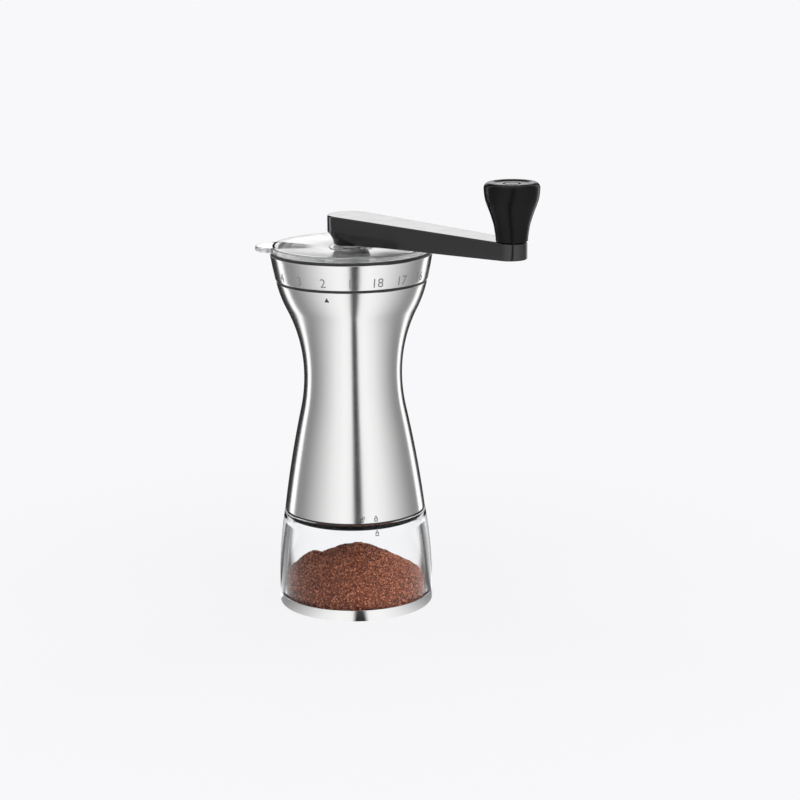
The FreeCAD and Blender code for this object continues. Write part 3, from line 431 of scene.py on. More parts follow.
baseSize = {"radius": 32.8, "height": 4.9, "wall": 0.8, "edge": 0.8, "lip": 0.2}
baseCup = softened([
    (0.0, 0.0), (baseSize["radius"], 0.0, baseSize["edge"]),
    (baseSize["radius"], baseSize["height"], baseSize["lip"]),
    (baseSize["radius"] - baseSize["wall"], baseSize["height"]),
    (baseSize["radius"] - baseSize["wall"], baseSize["wall"], baseSize["edge"]), (0.0, baseSize["wall"])], 6)
dressed(lathe("baseCup", baseCup, 256, closed=False), steel, "jar", "steel", "base_cap")
print("steel skin made")


# black lining of the ring, the upper seam
liningSize = {
    "pilot": 30.24, "pilotTop": 142.4, "bore": 30.75, "flangeRadius": 33.75, "flangeTop": 152.9, "lip": 0.3,
}
lining = [(liningSize["pilot"], ringSize["bottom"])] + ringInside
lining += [
    (liningSize["flangeRadius"], ringSize["top"]),
    (liningSize["flangeRadius"], liningSize["flangeTop"], liningSize["lip"]),
    (liningSize["bore"], liningSize["flangeTop"], liningSize["lip"]),
    (liningSize["bore"], liningSize["pilotTop"]), (liningSize["pilot"], liningSize["pilotTop"])]
dressed(lathe("ringLining", softened(lining, 4), 192), seamPlastic, "ring", "black_plastic", "ring_insert")


# clear jar
jarSize = {
    "footRadius": 32.0, "footBottom": 0.8, "footEdge": 0.8, "shoulder": 4.9, "shoulderEdge": 0.2,
    "radius": 32.8, "bend": 190.0, "top": 41.2, "topRadius": 30.1, "edge": 0.5,
    "neckRadius": 25.0, "neckTop": 49.0, "neckBore": 23.4, "neckEdge": 0.4,
    "boreLow": 37.0, "boreLowRadius": 27.2, "floorRadius": 30.2, "cornerTop": 4.6, "floor": 3.2, "corner": 1.4,
    "lugLow": 44.8, "lugHigh": 47.8, "lugReach": 1.2, "lugAngle": 8.0, "steps": 16,
}


def lugOut(r, z, angle):
    # three bayonet lugs stand out from the neck
    if abs(r - jarSize["neckRadius"]) > 1e-3 or not jarSize["lugLow"] <= z <= jarSize["lugHigh"]:
        return r
    third = fullTurn / 3
    off = abs((angle + third / 2) % third - third / 2)
    return r + (jarSize["lugReach"] if off <= math.radians(jarSize["lugAngle"]) / 2 else 0.0)


def jarProfile():
    size = jarSize
    outside = [(size["radius"], size["shoulder"])]
    outside += arcPoints(outside[0], (size["topRadius"], size["top"]), size["bend"], size["steps"])
    inside = [(size["boreLowRadius"], size["boreLow"])]
    inside += arcPoints(inside[0], (size["floorRadius"], size["cornerTop"]), -size["bend"], size["steps"])
    neck = [(size["neckRadius"], z) for z in (
        size["top"], size["lugLow"] - 0.01, size["lugLow"], size["lugHigh"], size["lugHigh"] + 0.01)]
    return softened(
        [(0.0, size["footBottom"]), (size["footRadius"], size["footBottom"], size["footEdge"]),
         (size["footRadius"], size["shoulder"])]
        + lipped(outside, size["shoulderEdge"], size["edge"]) + neck + [
            (size["neckRadius"], size["neckTop"], size["neckEdge"]),
            (size["neckBore"], size["neckTop"], size["neckEdge"]), (size["neckBore"], size["top"])]
        + inside[:-1] + [(size["floorRadius"], size["floor"], size["corner"]), (0.0, size["floor"])], 6)


clearJar = lathe("clearJar", jarProfile(), 225, closed=False, reach=lugOut)
dressed(clearJar, clearPlastic, "jar", "clear_plastic", "jar")

sealSize = {"low": (25.95, 38.1), "high": (23.45, 41.05), "wall": 0.8}
sealRing = softened([
    (*sealSize["low"], 0.1), (*sealSize["high"], 0.1),
    (sealSize["high"][0] - sealSize["wall"], sealSize["high"][1], 0.2),
    (sealSize["low"][0] - sealSize["wall"], sealSize["low"][1], 0.2)], 3)
dressed(lathe("jarSeal", sealRing, 192), seamPlastic, "jar", "black_plastic")
print("jar made")


# clear lid with its lifting tab
lidSize = {
    "hole": 7.5, "collar": 9.2, "collarTop": 154.5, "centreTop": 154.1, "under": 152.2, "skirtRadius": 30.3,
    "skirtWall": 1.5, "skirtBottom": 150.7, "seat": 152.9, "radius": 33.6, "rimTop": 155.3, "rimInside": 32.0,
    "edge": 0.4, "tabReach": 40.3, "tabHalf": 9.0, "tabBend": 11.0, "tabThick": 2.0, "tabRoot": 30.4,
    "tabShoulder": 33.6,
}


def lidDisc(size):
    edge = size["edge"]
    inside = size["skirtRadius"] - size["skirtWall"]
    return lathe("lidDisc", softened([
        (size["hole"], size["under"], edge), (inside, size["under"], edge), (inside, size["skirtBottom"], edge),
        (size["skirtRadius"], size["skirtBottom"], edge), (size["skirtRadius"], size["seat"]),
        (size["radius"], size["seat"], edge), (size["radius"], size["rimTop"], edge * 1.6),
        (size["rimInside"], size["rimTop"], edge), (size["collar"], size["centreTop"], edge),
        (size["collar"], size["collarTop"], edge / 2), (size["hole"], size["collarTop"], edge / 2)], 5), 192)


def lidTab(size):
    # a flat tongue with a rounded edge, reaching from inside the rim to the side
    half, low, high = size["tabHalf"], size["rimTop"] - size["tabThick"], size["rimTop"]
    tip = (-size["tabReach"], 0.0)
    outline = [(-size["tabRoot"], half), (-size["tabShoulder"], half)]
    outline += arcPoints((-size["tabShoulder"], half), tip, size["tabBend"], 14)
    outline += arcPoints(tip, (-size["tabShoulder"], -half), size["tabBend"], 14) + [(-size["tabRoot"], -half)]
    middle = Vector((-size["tabShoulder"], 0.0))
    points, rows = [], []
    layers = ((0.9, low), (0.25, low), (0.0, low + 0.3), (0.0, high - 0.5), (0.15, high - 0.2),
              (0.5, high), (0.9, high))
    for inset, height in layers:
        row = []
        for x, y in outline:
            pull = (middle - Vector((x, y))).normalized() * inset
            if x > -size["tabShoulder"] + 0.1:
                pull = Vector((0.0, -math.copysign(inset, y)))
            row.append(len(points))
            points.append(((x + pull.x) * mm, (y + pull.y) * mm, height * mm))
        rows.append(row)
    faces = [tuple(rows[0][::-1]), tuple(rows[-1])] + bands(rows)
    return sharpen(meshObject("lidTab", points, faces))


def united(name, main, extra):
    # one watertight mesh from two that overlap
    change = main.modifiers.new("unite", "BOOLEAN")
    change.operation = "UNION"
    change.solver = "EXACT"
    change.object = extra
    mesh = evaluatedMesh(main)
    for obj in (main, extra):
        bpy.data.objects.remove(obj)
    mesh.name = name
    return sharpen(added(name, mesh))


clearLid = united("clearLid", lidDisc(lidSize), lidTab(lidSize))
dressed(clearLid, lidPlasticPaintedSheen, "lid", "clear_plastic", "lid")
print("lid made:", len(clearLid.data.polygons), "faces")


# crank arm, hub and knob
crankSize = {
    "angle": -45.0, "length": 90.5, "top": 167.9, "drop": 1.6, "hubRadius": 9.85, "endRadius": 6.05,
    "hubUnder": 161.0, "belly": 24.0, "bellyUnder": 157.6, "bellyBend": 40.0, "endUnder": 159.4,
    "neckRadius": 7.2, "neckBottom": 155.6, "neckBend": 9.0, "socket": 5.62, "topEdge": 0.8, "lowEdge": 0.5,
    "capInset": 2.5, "edgeInset": 0.3, "neckEdge": 0.3, "rimSide": 1.0, "rimTop": 1.5, "rimInset": 0.5,
    "around": 40, "straight": 24,
}


def evenly(start, end, parts):
    # points between two others on a straight line
    return [(start[0] + (end[0] - start[0]) * k / parts, start[1] + (end[1] - start[1]) * k / parts)
            for k in range(1, parts)]


def crankPlan(size, inset):
    # outline of the arm from above: hub circle, two tangents, end circle
    hub, end = size["hubRadius"] - inset, size["endRadius"] - inset
    lean = math.acos((size["hubRadius"] - size["endRadius"]) / size["length"])
    outline = []
    for k in range(size["around"] + 1):
        angle = -lean + 2 * lean * k / size["around"]
        outline.append((size["length"] + end * math.cos(angle), end * math.sin(angle)))
    outline += evenly(outline[-1], (hub * math.cos(lean), hub * math.sin(lean)), size["straight"])
    for k in range(size["around"] + 1):
        angle = lean + (fullTurn - 2 * lean) * k / size["around"]
        outline.append((hub * math.cos(angle), hub * math.sin(angle)))
    return outline + evenly(outline[-1], outline[0], size["straight"])


def crankUnder(size):
    # heights of the underside along the arm
    path = [(-size["hubRadius"], size["hubUnder"]), (0.0, size["hubUnder"])]
    path += arcPoints(path[-1], (size["belly"], size["bellyUnder"]), size["bellyBend"], 12)
    path.append((size["length"] + size["endRadius"], size["endUnder"]))

    def under(x):
        for (x0, z0), (x1, z1) in zip(path, path[1:]):
            if x0 <= x <= x1:
                return z0 + (z1 - z0) * (x - x0) / (x1 - x0)
        return path[0][1] if x < path[0][0] else path[-1][1]
    return under


def crankArm(size):
    under = crankUnder(size)
    slope = size["drop"] / size["length"]
    quarter = [math.pi / 2 * k / 5 for k in range(6)]
    lowEdge, topEdge = size["lowEdge"], size["topEdge"]
    layers = [(lowEdge + size["capInset"], "low", 0.0), (lowEdge + size["edgeInset"], "low", 0.0)]
    layers += [(lowEdge * (1 - math.sin(a)), "low", lowEdge * (1 - math.cos(a))) for a in quarter]
    layers += [(0.0, "mid", 0.0)]
    layers += [(topEdge * (1 - math.cos(a)), "top", topEdge * (1 - math.sin(a))) for a in quarter]
    layers += [(topEdge + size["edgeInset"], "top", 0.0), (topEdge + size["capInset"], "top", 0.0)]
    points, rows = [], []
    for inset, side, off in layers:
        row = []
        for x, y in crankPlan(size, inset):
            low, high = under(x), size["top"] - slope * x
            z = {"low": low + off, "mid": (low + high) / 2, "top": high - off}[side]
            row.append(len(points))
            points.append((x * mm, y * mm, z * mm))
        rows.append(row)
    count = len(rows[0])
    faces = bands(rows)
    # the caps are strips between points that face each other across the arm
    for row in (rows[0], rows[-1]):
        pairs = []
        for k in range(count // 2 + 1):
            a = row[(size["around"] // 2 + k) % count]
            b = row[(size["around"] // 2 - k) % count]
            pairs.append((a, b))
        for (a, b), (c, e) in zip(pairs, pairs[1:]):
            corners = []
            for corner in (a, c, e, b):
                if corner not in corners:
                    corners.append(corner)
            if len(corners) > 2:
                faces.append(tuple(corners))
    return sharpen(meshObject("armBar", points, faces), 50)


def hubNeck(size):
    neck = [(size["socket"], size["neckBottom"]), (size["neckRadius"], size["neckBottom"], size["neckEdge"])]
    foot, head = (size["neckRadius"], size["neckBottom"]), (size["hubRadius"], size["hubUnder"])
    bell = arcPoints(foot, head, -size["neckBend"], 14)
    rimTop = size["hubUnder"] + size["rimTop"]
    rim = [(size["hubRadius"], size["hubUnder"] + size["rimSide"]),
           (size["hubRadius"] - size["rimInset"], rimTop), (size["socket"], rimTop)]
    return lathe("hubNeck", softened(neck + bell + rim, 4), 96)


turn = Matrix.Rotation(math.radians(crankSize["angle"]), 4, "Z")
arm = joined("crankBar", [crankArm(crankSize), hubNeck(crankSize)])
arm.data.transform(turn)
dressed(arm, armPlasticPaintedLight, "crank", "black_plastic", "crank_arm")

knobSize = {
    "bottom": 166.55, "top": 189.55, "foot": 6.35, "rim": 11.0,
    "flare": ((6.35, 1.2), (6.55, 2.8), (7.1, 6.2), (7.8, 8.65), (8.6, 11.1), (9.55, 13.6), (10.4, 16.1),
              (10.85, 18.5), (11.0, 20.6)),  # radius and height above the bottom
    "rimBend": 2.2, "bore": 2.54, "well": 181.55, "wellRadius": 6.4, "capSeat": 8.94, "capBottom": 187.95,
    "capRadius": 8.9, "capDish": 0.5, "edge": 0.35, "groove": (3.6, 3.35, 3.0, 2.75), "grooveDeep": 0.25,
}
knobPlace = tuple(turn @ Vector((crankSize["length"], 0, 0)))[:2]


def smoothThrough(points, steps):
    # a smooth line through a few points
    path = []
    for k in range(len(points) - 1):
        p0, p1, p2, p3 = (Vector(points[min(max(k + j, 0), len(points) - 1)]) for j in (-1, 0, 1, 2))
        for step in range(steps):
            t = step / steps
            path.append(tuple(0.5 * (2 * p1 + (p2 - p0) * t + (2 * p0 - 5 * p1 + 4 * p2 - p3) * t * t
                                     + (3 * p1 - p0 - 3 * p2 + p3) * t ** 3)))
    return path + [tuple(points[-1])]


def knobProfile(size):
    side = smoothThrough([(r, size["bottom"] + rise) for r, rise in size["flare"]], 5)
    shoulder = (size["rim"] - size["rimBend"] + size["capDish"], size["top"])
    side += arcPoints(side[-1], shoulder, size["rimBend"], 12)
    return softened(
        [(size["bore"], size["bottom"]), (size["foot"], size["bottom"], size["edge"])] + side
        + [(size["capSeat"], size["top"], 0.1), (size["capSeat"], size["capBottom"]),
           (size["wellRadius"], size["capBottom"]), (size["wellRadius"], size["well"]),
           (size["bore"], size["well"])], 5)


def capProfile(size):
    dish = size["top"] - size["capDish"]
    groove = zip(size["groove"], (dish, dish - size["grooveDeep"], dish - size["grooveDeep"], dish))
    return softened([
        (0.0, size["capBottom"]), (size["capRadius"], size["capBottom"]),
        (size["capRadius"], size["top"], 0.15),
        (size["capRadius"] - 0.7, size["top"], 0.2), (size["wellRadius"], dish, 0.6)]
        + [(r, z, 0.1) for r, z in groove] + [(0.0, dish)], 5)


knobGrip = lathe("knobGrip", knobProfile(knobSize), 128, knobPlace)
dressed(knobGrip, blackPlastic, "knob", "black_plastic", "knob")
knobLid = lathe("knobLid", capProfile(knobSize), 128, knobPlace, closed=False)
dressed(knobLid, blackPlastic, "knob", "black_plastic", "knob_cap")
print("crank and knob made")


# coffee: a heap with grains scattered over it by Geometry Nodes
heapSize = {
    "floor": 3.4, "wall": 29.0, "wallTop": 13.0, "wallTilt": -1.2, "peak": 24.9, "crown": 9.0, "crownTop": 22.6,
    "sideX": -18.0, "sideY": 0.5, "sidePeak": 22.4, "sideRadius": 11.2, "sideCurve": 1.5, "blend": 0.4,
    "rough": 0.7, "broadLumps": (0.22, 3.1), "fineLumps": (0.7, 8.4), "fineShare": 0.6,
    "rings": 46, "segments": 150,
    "density": 1.85e6, "grain": 0.00044, "grainLow": (0.45, 0.45, 0.35), "grainHigh": (1.35, 1.2, 0.9),
    "bedTone": 0.24, "seed": 7, "facing": -0.5, "sideRows": (0.66, 0.33, 0.0),
}


def lump(x, y, scale, depth):
    return noise.noise(Vector((x * scale, y * scale, depth)))


def heapHeight(size, x, y):
    r = math.hypot(x, y)
    wallTop = size["wallTop"] + size["wallTilt"] * x / size["wall"]
    if r < size["crown"]:
        main = size["peak"] - (size["peak"] - size["crownTop"]) * (r / size["crown"]) ** 2
    else:
        share = (r - size["crown"]) / (size["wall"] - size["crown"])
        main = size["crownTop"] + (wallTop - size["crownTop"]) * share
    away = math.hypot(x - size["sideX"], y - size["sideY"]) / size["sideRadius"]
    side = size["sidePeak"] - (size["sidePeak"] - size["wallTop"]) * away ** size["sideCurve"]
    blend = size["blend"]
    lead = max(main, side) + blend * math.log1p(math.exp(-abs(main - side) / blend)) - blend
    lumps = lump(x, y, *size["broadLumps"]) + lump(x, y, *size["fineLumps"]) * size["fineShare"]
    return lead + lumps * size["rough"]


def heapMesh(size):
    points = [(0.0, 0.0, heapHeight(size, 0, 0) * mm)]
    rows = [[0]]
    for ring in range(1, size["rings"] + 1):
        r = size["wall"] * ring / size["rings"]
        row = []
        for s in range(size["segments"]):
            angle = fullTurn * s / size["segments"]
            x, y = r * math.cos(angle), r * math.sin(angle)
            row.append(len(points))
            points.append((x * mm, y * mm, heapHeight(size, x, y) * mm))
        rows.append(row)
    for height in size["sideRows"]:
        row = []
        for p in rows[size["rings"]]:
            x, y, z = points[p]
            row.append(len(points))
            points.append((x, y, size["floor"] * mm + (z - size["floor"] * mm) * height))
        rows.append(row)
    rows.append([len(points)])
    points.append((0.0, 0.0, size["floor"] * mm))
    faces = []
    for low, high in zip(rows, rows[1:]):
        for s in range(size["segments"]):
            t = (s + 1) % size["segments"]
            if len(low) == 1:
                faces.append((low[0], high[s], high[t]))
            elif len(high) == 1:
                faces.append((low[s], high[0], low[t]))
            else:
                faces.append((low[s], high[s], high[t], low[t]))
    return sharpen(meshObject("coffeeHeap", points, faces), 60)


def grainTree(material):
    tree = bpy.data.node_groups.new("coffeeGrains", "GeometryNodeTree")
    face = tree.interface
    face.new_socket("Geometry", in_out="INPUT", socket_type="NodeSocketGeometry")
    face.new_socket("Geometry", in_out="OUTPUT", socket_type="NodeSocketGeometry")
    for label, kind in (("Density", "NodeSocketFloat"), ("Grain Radius", "NodeSocketFloat"),
                        ("Bed Tone", "NodeSocketFloat"), ("Seed", "NodeSocketInt")):
        face.new_socket(label, in_out="INPUT", socket_type=kind)
    entry = tree.nodes.new("NodeGroupInput")
    leave = tree.nodes.new("NodeGroupOutput")
    seed = entry.outputs["Seed"]
    # no grains on the underside, which never shows
    facing = linkNode(tree, "ShaderNodeSeparateXYZ", {0: linkNode(tree, "GeometryNodeInputNormal").outputs[0]})
    seen = linkNode(tree, "FunctionNodeCompare", {0: facing.outputs[2], 1: heapSize["facing"]},
                    operation="GREATER_THAN")
    scatter = linkNode(tree, "GeometryNodeDistributePointsOnFaces", {
        "Mesh": entry.outputs["Geometry"], "Selection": seen.outputs[0], "Density": entry.outputs["Density"],
        "Seed": seed})
    grain = linkNode(tree, "GeometryNodeMeshIcoSphere", {
        "Radius": entry.outputs["Grain Radius"], "Subdivisions": 1})
    tumble = linkNode(tree, "FunctionNodeRandomValue", {
        "Min": (0.0, 0.0, 0.0), "Max": (fullTurn, fullTurn, fullTurn), "Seed": seed}, data_type="FLOAT_VECTOR")
    spread = linkNode(tree, "FunctionNodeRandomValue", {
        "Min": heapSize["grainLow"], "Max": heapSize["grainHigh"], "Seed": seed}, data_type="FLOAT_VECTOR")
    placed = linkNode(tree, "GeometryNodeInstanceOnPoints", {
        "Points": scatter.outputs["Points"], "Instance": grain.outputs["Mesh"],
        "Rotation": tumble.outputs[0], "Scale": spread.outputs[0]})
    tone = linkNode(tree, "FunctionNodeRandomValue", {2: 0.0, 3: 1.0, "Seed": seed})
    toned = linkNode(tree, "GeometryNodeStoreNamedAttribute", {
        "Geometry": placed.outputs[0], "Name": "grainTone", "Value": tone.outputs[1]},
        domain="INSTANCE", data_type="FLOAT")
    solid = linkNode(tree, "GeometryNodeRealizeInstances", {"Geometry": toned.outputs[0]})
    bed = linkNode(tree, "GeometryNodeStoreNamedAttribute", {
        "Geometry": entry.outputs["Geometry"], "Name": "grainTone", "Value": entry.outputs["Bed Tone"]},
        domain="POINT", data_type="FLOAT")
    both = linkNode(tree, "GeometryNodeJoinGeometry")
    tree.links.new(bed.outputs[0], both.inputs[0])
    tree.links.new(solid.outputs[0], both.inputs[0])
    painted = linkNode(tree, "GeometryNodeSetMaterial", {"Geometry": both.outputs[0], "Material": material})
    tree.links.new(painted.outputs[0], leave.inputs[0])
    return tree


def baked(obj, tree, values):
    # runs a tree on an object and keeps the plain mesh
    change = obj.modifiers.new(tree.name, "NODES")
    sockets = {item.name: item.identifier for item in tree.interface.items_tree if item.in_out == "INPUT"}
    change.node_group = tree
    for label, value in values.items():
        change[sockets[label]] = value
    mesh = evaluatedMesh(obj)
    obj.modifiers.remove(change)
    obj.data = mesh
    return obj


heap = baked(heapMesh(heapSize), grainTree(coffee), {
    "Density": heapSize["density"], "Grain Radius": heapSize["grain"],
    "Bed Tone": heapSize["bedTone"], "Seed": heapSize["seed"]})
dressed(heap, coffee, "jar", "coffee", "coffee_grounds")
print("coffee made:", len(heap.data.polygons), "faces")


# numbers on the ring and marks on the body and jar
numberSize = {
    "count": 18, "height": 3.8, "heightShare": 0.7, "firstAngle": -90.0, "middle": 144.1, "lift": 0.03,
    "thick": 0.05, "longest": 0.8,
}


def wrapped(obj, profile, azimuth, height, lift):
    # bends a flat mark, drawn in millimetres in x and y, on to a turned surface
    for vertex in obj.data.vertices:
        x, y, z = vertex.co
        r = radiusOn(profile, height + y) + lift + z
        angle = math.radians(azimuth) + x / r
        vertex.co = (r * math.cos(angle) * mm, r * math.sin(angle) * mm, (height + y) * mm)
    return obj


def divided(obj, longest):
    tool = bmesh.new()
    tool.from_mesh(obj.data)
    bmesh.ops.triangulate(tool, faces=tool.faces)
    for _ in range(3):
        tooLong = [edge for edge in tool.edges if edge.calc_length() > longest]
        if not tooLong:
            break
        bmesh.ops.subdivide_edges(tool, edges=tooLong, cuts=1)
        bmesh.ops.triangulate(tool, faces=tool.faces)
    tool.to_mesh(obj.data)
    tool.free()
    return obj


def numeral(text, size):
    curve = bpy.data.curves.new("numeral", "FONT")
    curve.body = text
    curve.align_x = "CENTER"
    curve.align_y = "CENTER"
    curve.size = size["height"] / size["heightShare"]
    curve.extrude = size["thick"] / 2
    holder = added("numeral", curve)
    mesh = evaluatedMesh(holder)
    bpy.data.objects.remove(holder)
    bpy.data.curves.remove(curve)
    return divided(added("numeral", mesh), size["longest"])


numerals = []
for number in range(numberSize["count"]):
    azimuth = numberSize["firstAngle"] - 360 / numberSize["count"] * number
    flat = numeral(str(number + 1), numberSize)
    numerals.append(wrapped(flat, ringOutside, azimuth, numberSize["middle"], numberSize["lift"]))
dressed(joined("ringNumbers", numerals), etchGrey, "ring", "black_plastic")


def plate(name, outline, thick=0.04):
    points = [(x, y, 0.0) for x, y in outline] + [(x, y, thick) for x, y in outline]
    count = len(outline)
    low, high = tuple(range(count)), tuple(range(count, 2 * count))
    return meshObject(name, points, [low[::-1], high] + bands([low, high]), smooth=False)


def stroke(name, path, width):
    # a thin band along a path
    left, right = [], []
    for k, point in enumerate(path):
        before = Vector(path[max(k - 1, 0)])
        after = Vector(path[min(k + 1, len(path) - 1)])
        way = (after - before).normalized()
        side = Vector((-way.y, way.x)) * width / 2
        left.append(tuple(Vector(point) + side))
        right.append(tuple(Vector(point) - side))
    return plate(name, left + right[::-1])


lockSize = {
    "width": 1.15, "low": -0.95, "top": 0.25, "line": 0.3, "shackleLine": 0.24, "shackleHalf": 0.42,
    "shackleFoot": 0.55, "shackleRise": 0.6, "foot": 0.2, "openFoot": 0.45, "openShift": 0.75,
}


def padlock(opened):
    size = lockSize
    shift = size["openShift"] if opened else 0.0
    shackle = []
    for k in range(13):
        angle = math.pi * k / 12
        shackle.append((shift - size["shackleHalf"] * math.cos(angle),
                        size["shackleFoot"] + size["shackleRise"] * math.sin(angle)))
    foot = size["openFoot"] if opened else size["foot"]
    shackle = [(shackle[0][0], foot)] + shackle + [(shackle[-1][0], size["foot"])]
    left, right, low, top = -size["width"] / 2, size["width"] / 2, size["low"], size["top"]
    sides = [((left, low), (left, top)), ((right, low), (right, top)),
             ((left, low), (right, low)), ((left, top), (right, top))]
    flats = [stroke("lockSide", side, size["line"]) for side in sides]
    return flats + [stroke("lockShackle", shackle, size["shackleLine"])]


jarOutside = [(jarSize["radius"], jarSize["shoulder"])]
jarHead = (jarSize["topRadius"], jarSize["top"])
jarOutside += arcPoints(jarOutside[0], jarHead, jarSize["bend"], jarSize["steps"])
markSize = {
    # angle and height of each mark
    "pointer": (-108.3, 137.1), "open": (-83.6, 43.75), "closed": (-71.9, 43.75), "jar": (-71.6, 37.7),
    "arrow": ((-1.05, -0.9), (1.05, -0.9), (0.0, 0.95)), "lift": 0.03, "longest": 0.6,
}


def marks(flats, profile, azimuth, height):
    cut = [divided(flat, markSize["longest"]) for flat in flats]
    return [wrapped(flat, profile, azimuth, height, markSize["lift"]) for flat in cut]


bodyMarks = marks([plate("pointer", markSize["arrow"])], bodyOutside, *markSize["pointer"])
bodyMarks += marks(padlock(True), bodyOutside, *markSize["open"])
bodyMarks += marks(padlock(False), bodyOutside, *markSize["closed"])
dressed(joined("bodyMarks", bodyMarks), markBlack, "housing", "black_plastic")
jarMark = joined("jarMark", marks(padlock(False), jarOutside, *markSize["jar"]))
dressed(jarMark, markBlack, "jar", "black_plastic")
print("numbers and marks made")


# finishes of the CAD nodes that show as they are
finishes = {
    "hopper_liner": (seamPlastic, "liner_plastic"), "mill_frame": (seamPlastic, "liner_plastic"),
    "outer_burr": (burrCeramic, "burr_ceramic"), "inner_burr": (burrCeramic, "burr_ceramic"),
    "burr_retainer": (linerPlastic, "liner_plastic"), "retainer_screws": (shaftSteel, "shaft_steel"),
    "lower_bearing": (bronze, "bronze"), "upper_bearing": (bronze, "bronze"),
    "bearing_carrier": (linerPlastic, "liner_plastic"), "drive_shaft": (shaftSteel, "shaft_steel"),
    "shaft_circlip": (springSteel, "spring_steel"), "thrust_washer": (shaftSteel, "shaft_steel"),
    "burr_spring": (springSteel, "spring_steel"), "burr_nut": (shaftSteel, "shaft_steel"),
    "hub_socket": (shaftSteel, "shaft_steel"), "knob_pin": (shaftSteel, "shaft_steel"),
    "knob_washer": (shaftSteel, "shaft_steel"),
}
for node, (material, slotName) in finishes.items():
    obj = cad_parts[node]
    obj.data.materials.clear()
    obj.data.materials.append(material)
print("CAD nodes finished:", len(finishes))


# stage, light and camera
stageLook = {
    "pale": (0.939, 0.939, 0.956, 1), "floorTone": (0.88, 0.88, 0.89, 1), "floorRadius": 12.0,
    "tentRadius": 1.6, "tentHeight": 2.6, "tentPanels": 96,
    "floorShade": 0.15, "shadeNear": 0.05, "shadeFar": 0.3,
    "worldFill": 0.5, "stripeTurn": 0.10, "bodyRadius": 0.029, "insideSpread": 0.6,
    "backLow": 0.25, "backHigh": 0.85, "insideFloor": 1.0, "insideLeft": -0.6, "insideRight": 4.4,
}
# brightness of the surround by angle from the camera's side: 0 at the camera, 1 straight behind
surroundTones = [
    (0.0, 0.03), (0.026, 0.03), (0.052, 1.36), (0.14, 1.40), (0.25, 1.24), (0.36, 0.92), (0.43, 0.72),
    (0.50, 0.53), (0.57, 0.39), (0.66, 0.36), (0.69, 1.7), (0.745, 1.7), (0.775, 0.04), (1.0, 0.03)]
# what clear pieces show of the floor, and the bright panel behind that flat tops mirror
glassTones = [(0.0, 1.0), (0.64, 1.0), (0.69, 0.08), (0.82, 0.08), (0.855, 1.0), (1.0, 1.0)]
backTones = [(0.0, 0.0), (0.89, 0.0), (0.94, 1.0), (1.0, 1.0)]
backRise = [(0.0, 0.3), (0.18, 1.0), (0.36, 2.2), (0.56, 2.35), (0.72, 1.1), (0.85, 0.4), (1.0, 0.1)]


def toneCurve(tree, value, tones):
    curve = linkNode(tree, "ShaderNodeFloatCurve", {"Value": value})
    line = curve.mapping.curves[0]
    top = max(tone for _, tone in tones)
    line.points[0].location = (tones[0][0], tones[0][1] / top)
    line.points[1].location = (tones[-1][0], tones[-1][1] / top)
    for where, tone in tones[1:-1]:
        line.points.new(where, tone / top)
    for point in line.points:
        point.handle_type = "VECTOR"
    curve.mapping.update()
    return mathNode(tree, "MULTIPLY", curve.outputs[0], top)


def shareOf(tree, angle):
    # 0 toward the camera, 1 straight behind, the same on both sides
    return mathNode(tree, "DIVIDE", mathNode(tree, "ABSOLUTE", angle), math.pi)


def surroundValue(tree):
    # grey tone by the angle about the upright axis, with that angle's share and the height
    place = linkNode(tree, "ShaderNodeNewGeometry").outputs["Position"]
    axes = linkNode(tree, "ShaderNodeSeparateXYZ", {0: place})
    angle = mathNode(tree, "ARCTAN2", axes.outputs[0], mathNode(tree, "MULTIPLY", axes.outputs[1], -1.0))
    flat = linkNode(tree, "ShaderNodeCombineXYZ", {0: axes.outputs[0], 1: axes.outputs[1]})
    away = linkNode(tree, "ShaderNodeVectorMath", {0: flat.outputs[0]}, operation="LENGTH").outputs["Value"]
    lean = mathNode(tree, "DIVIDE", stageLook["bodyRadius"] / 2, away)
    angle = mathNode(tree, "MULTIPLY_ADD", mathNode(tree, "SINE", angle), lean, angle)
    shifted = mathNode(tree, "SUBTRACT", angle, stageLook["stripeTurn"])
    tone = toneCurve(tree, shareOf(tree, shifted), surroundTones)
    return tone, shareOf(tree, angle), axes.outputs[2]


def emptyMaterial(name):
    material = bpy.data.materials.new(name)
    material.use_nodes = True
    material.node_tree.nodes.clear()
    return material, material.node_tree


def mirrorOnly(tree, ray):
    # 1 for reflections, 0 for what is seen through clear pieces
    glossy, through = ray.outputs["Is Glossy Ray"], ray.outputs["Is Transmission Ray"]
    return mathNode(tree, "SUBTRACT", glossy, through, clamp=True)


def insideLight(tree, ray, value, gain):
    # clear pieces shade what they hold from the lamps, so the surround gives that light back
    bounced = mathNode(tree, "MINIMUM", ray.outputs["Diffuse Depth"], 1.0)
    through = mathNode(tree, "MULTIPLY", bounced, ray.outputs["Is Transmission Ray"])
    return mathNode(tree, "MULTIPLY", value, mathNode(tree, "MULTIPLY_ADD", through, gain, 1.0))


def mixedShader(tree, factor, first, second):
    return linkNode(tree, "ShaderNodeMixShader", {0: factor, 1: first.outputs[0], 2: second.outputs[0]})


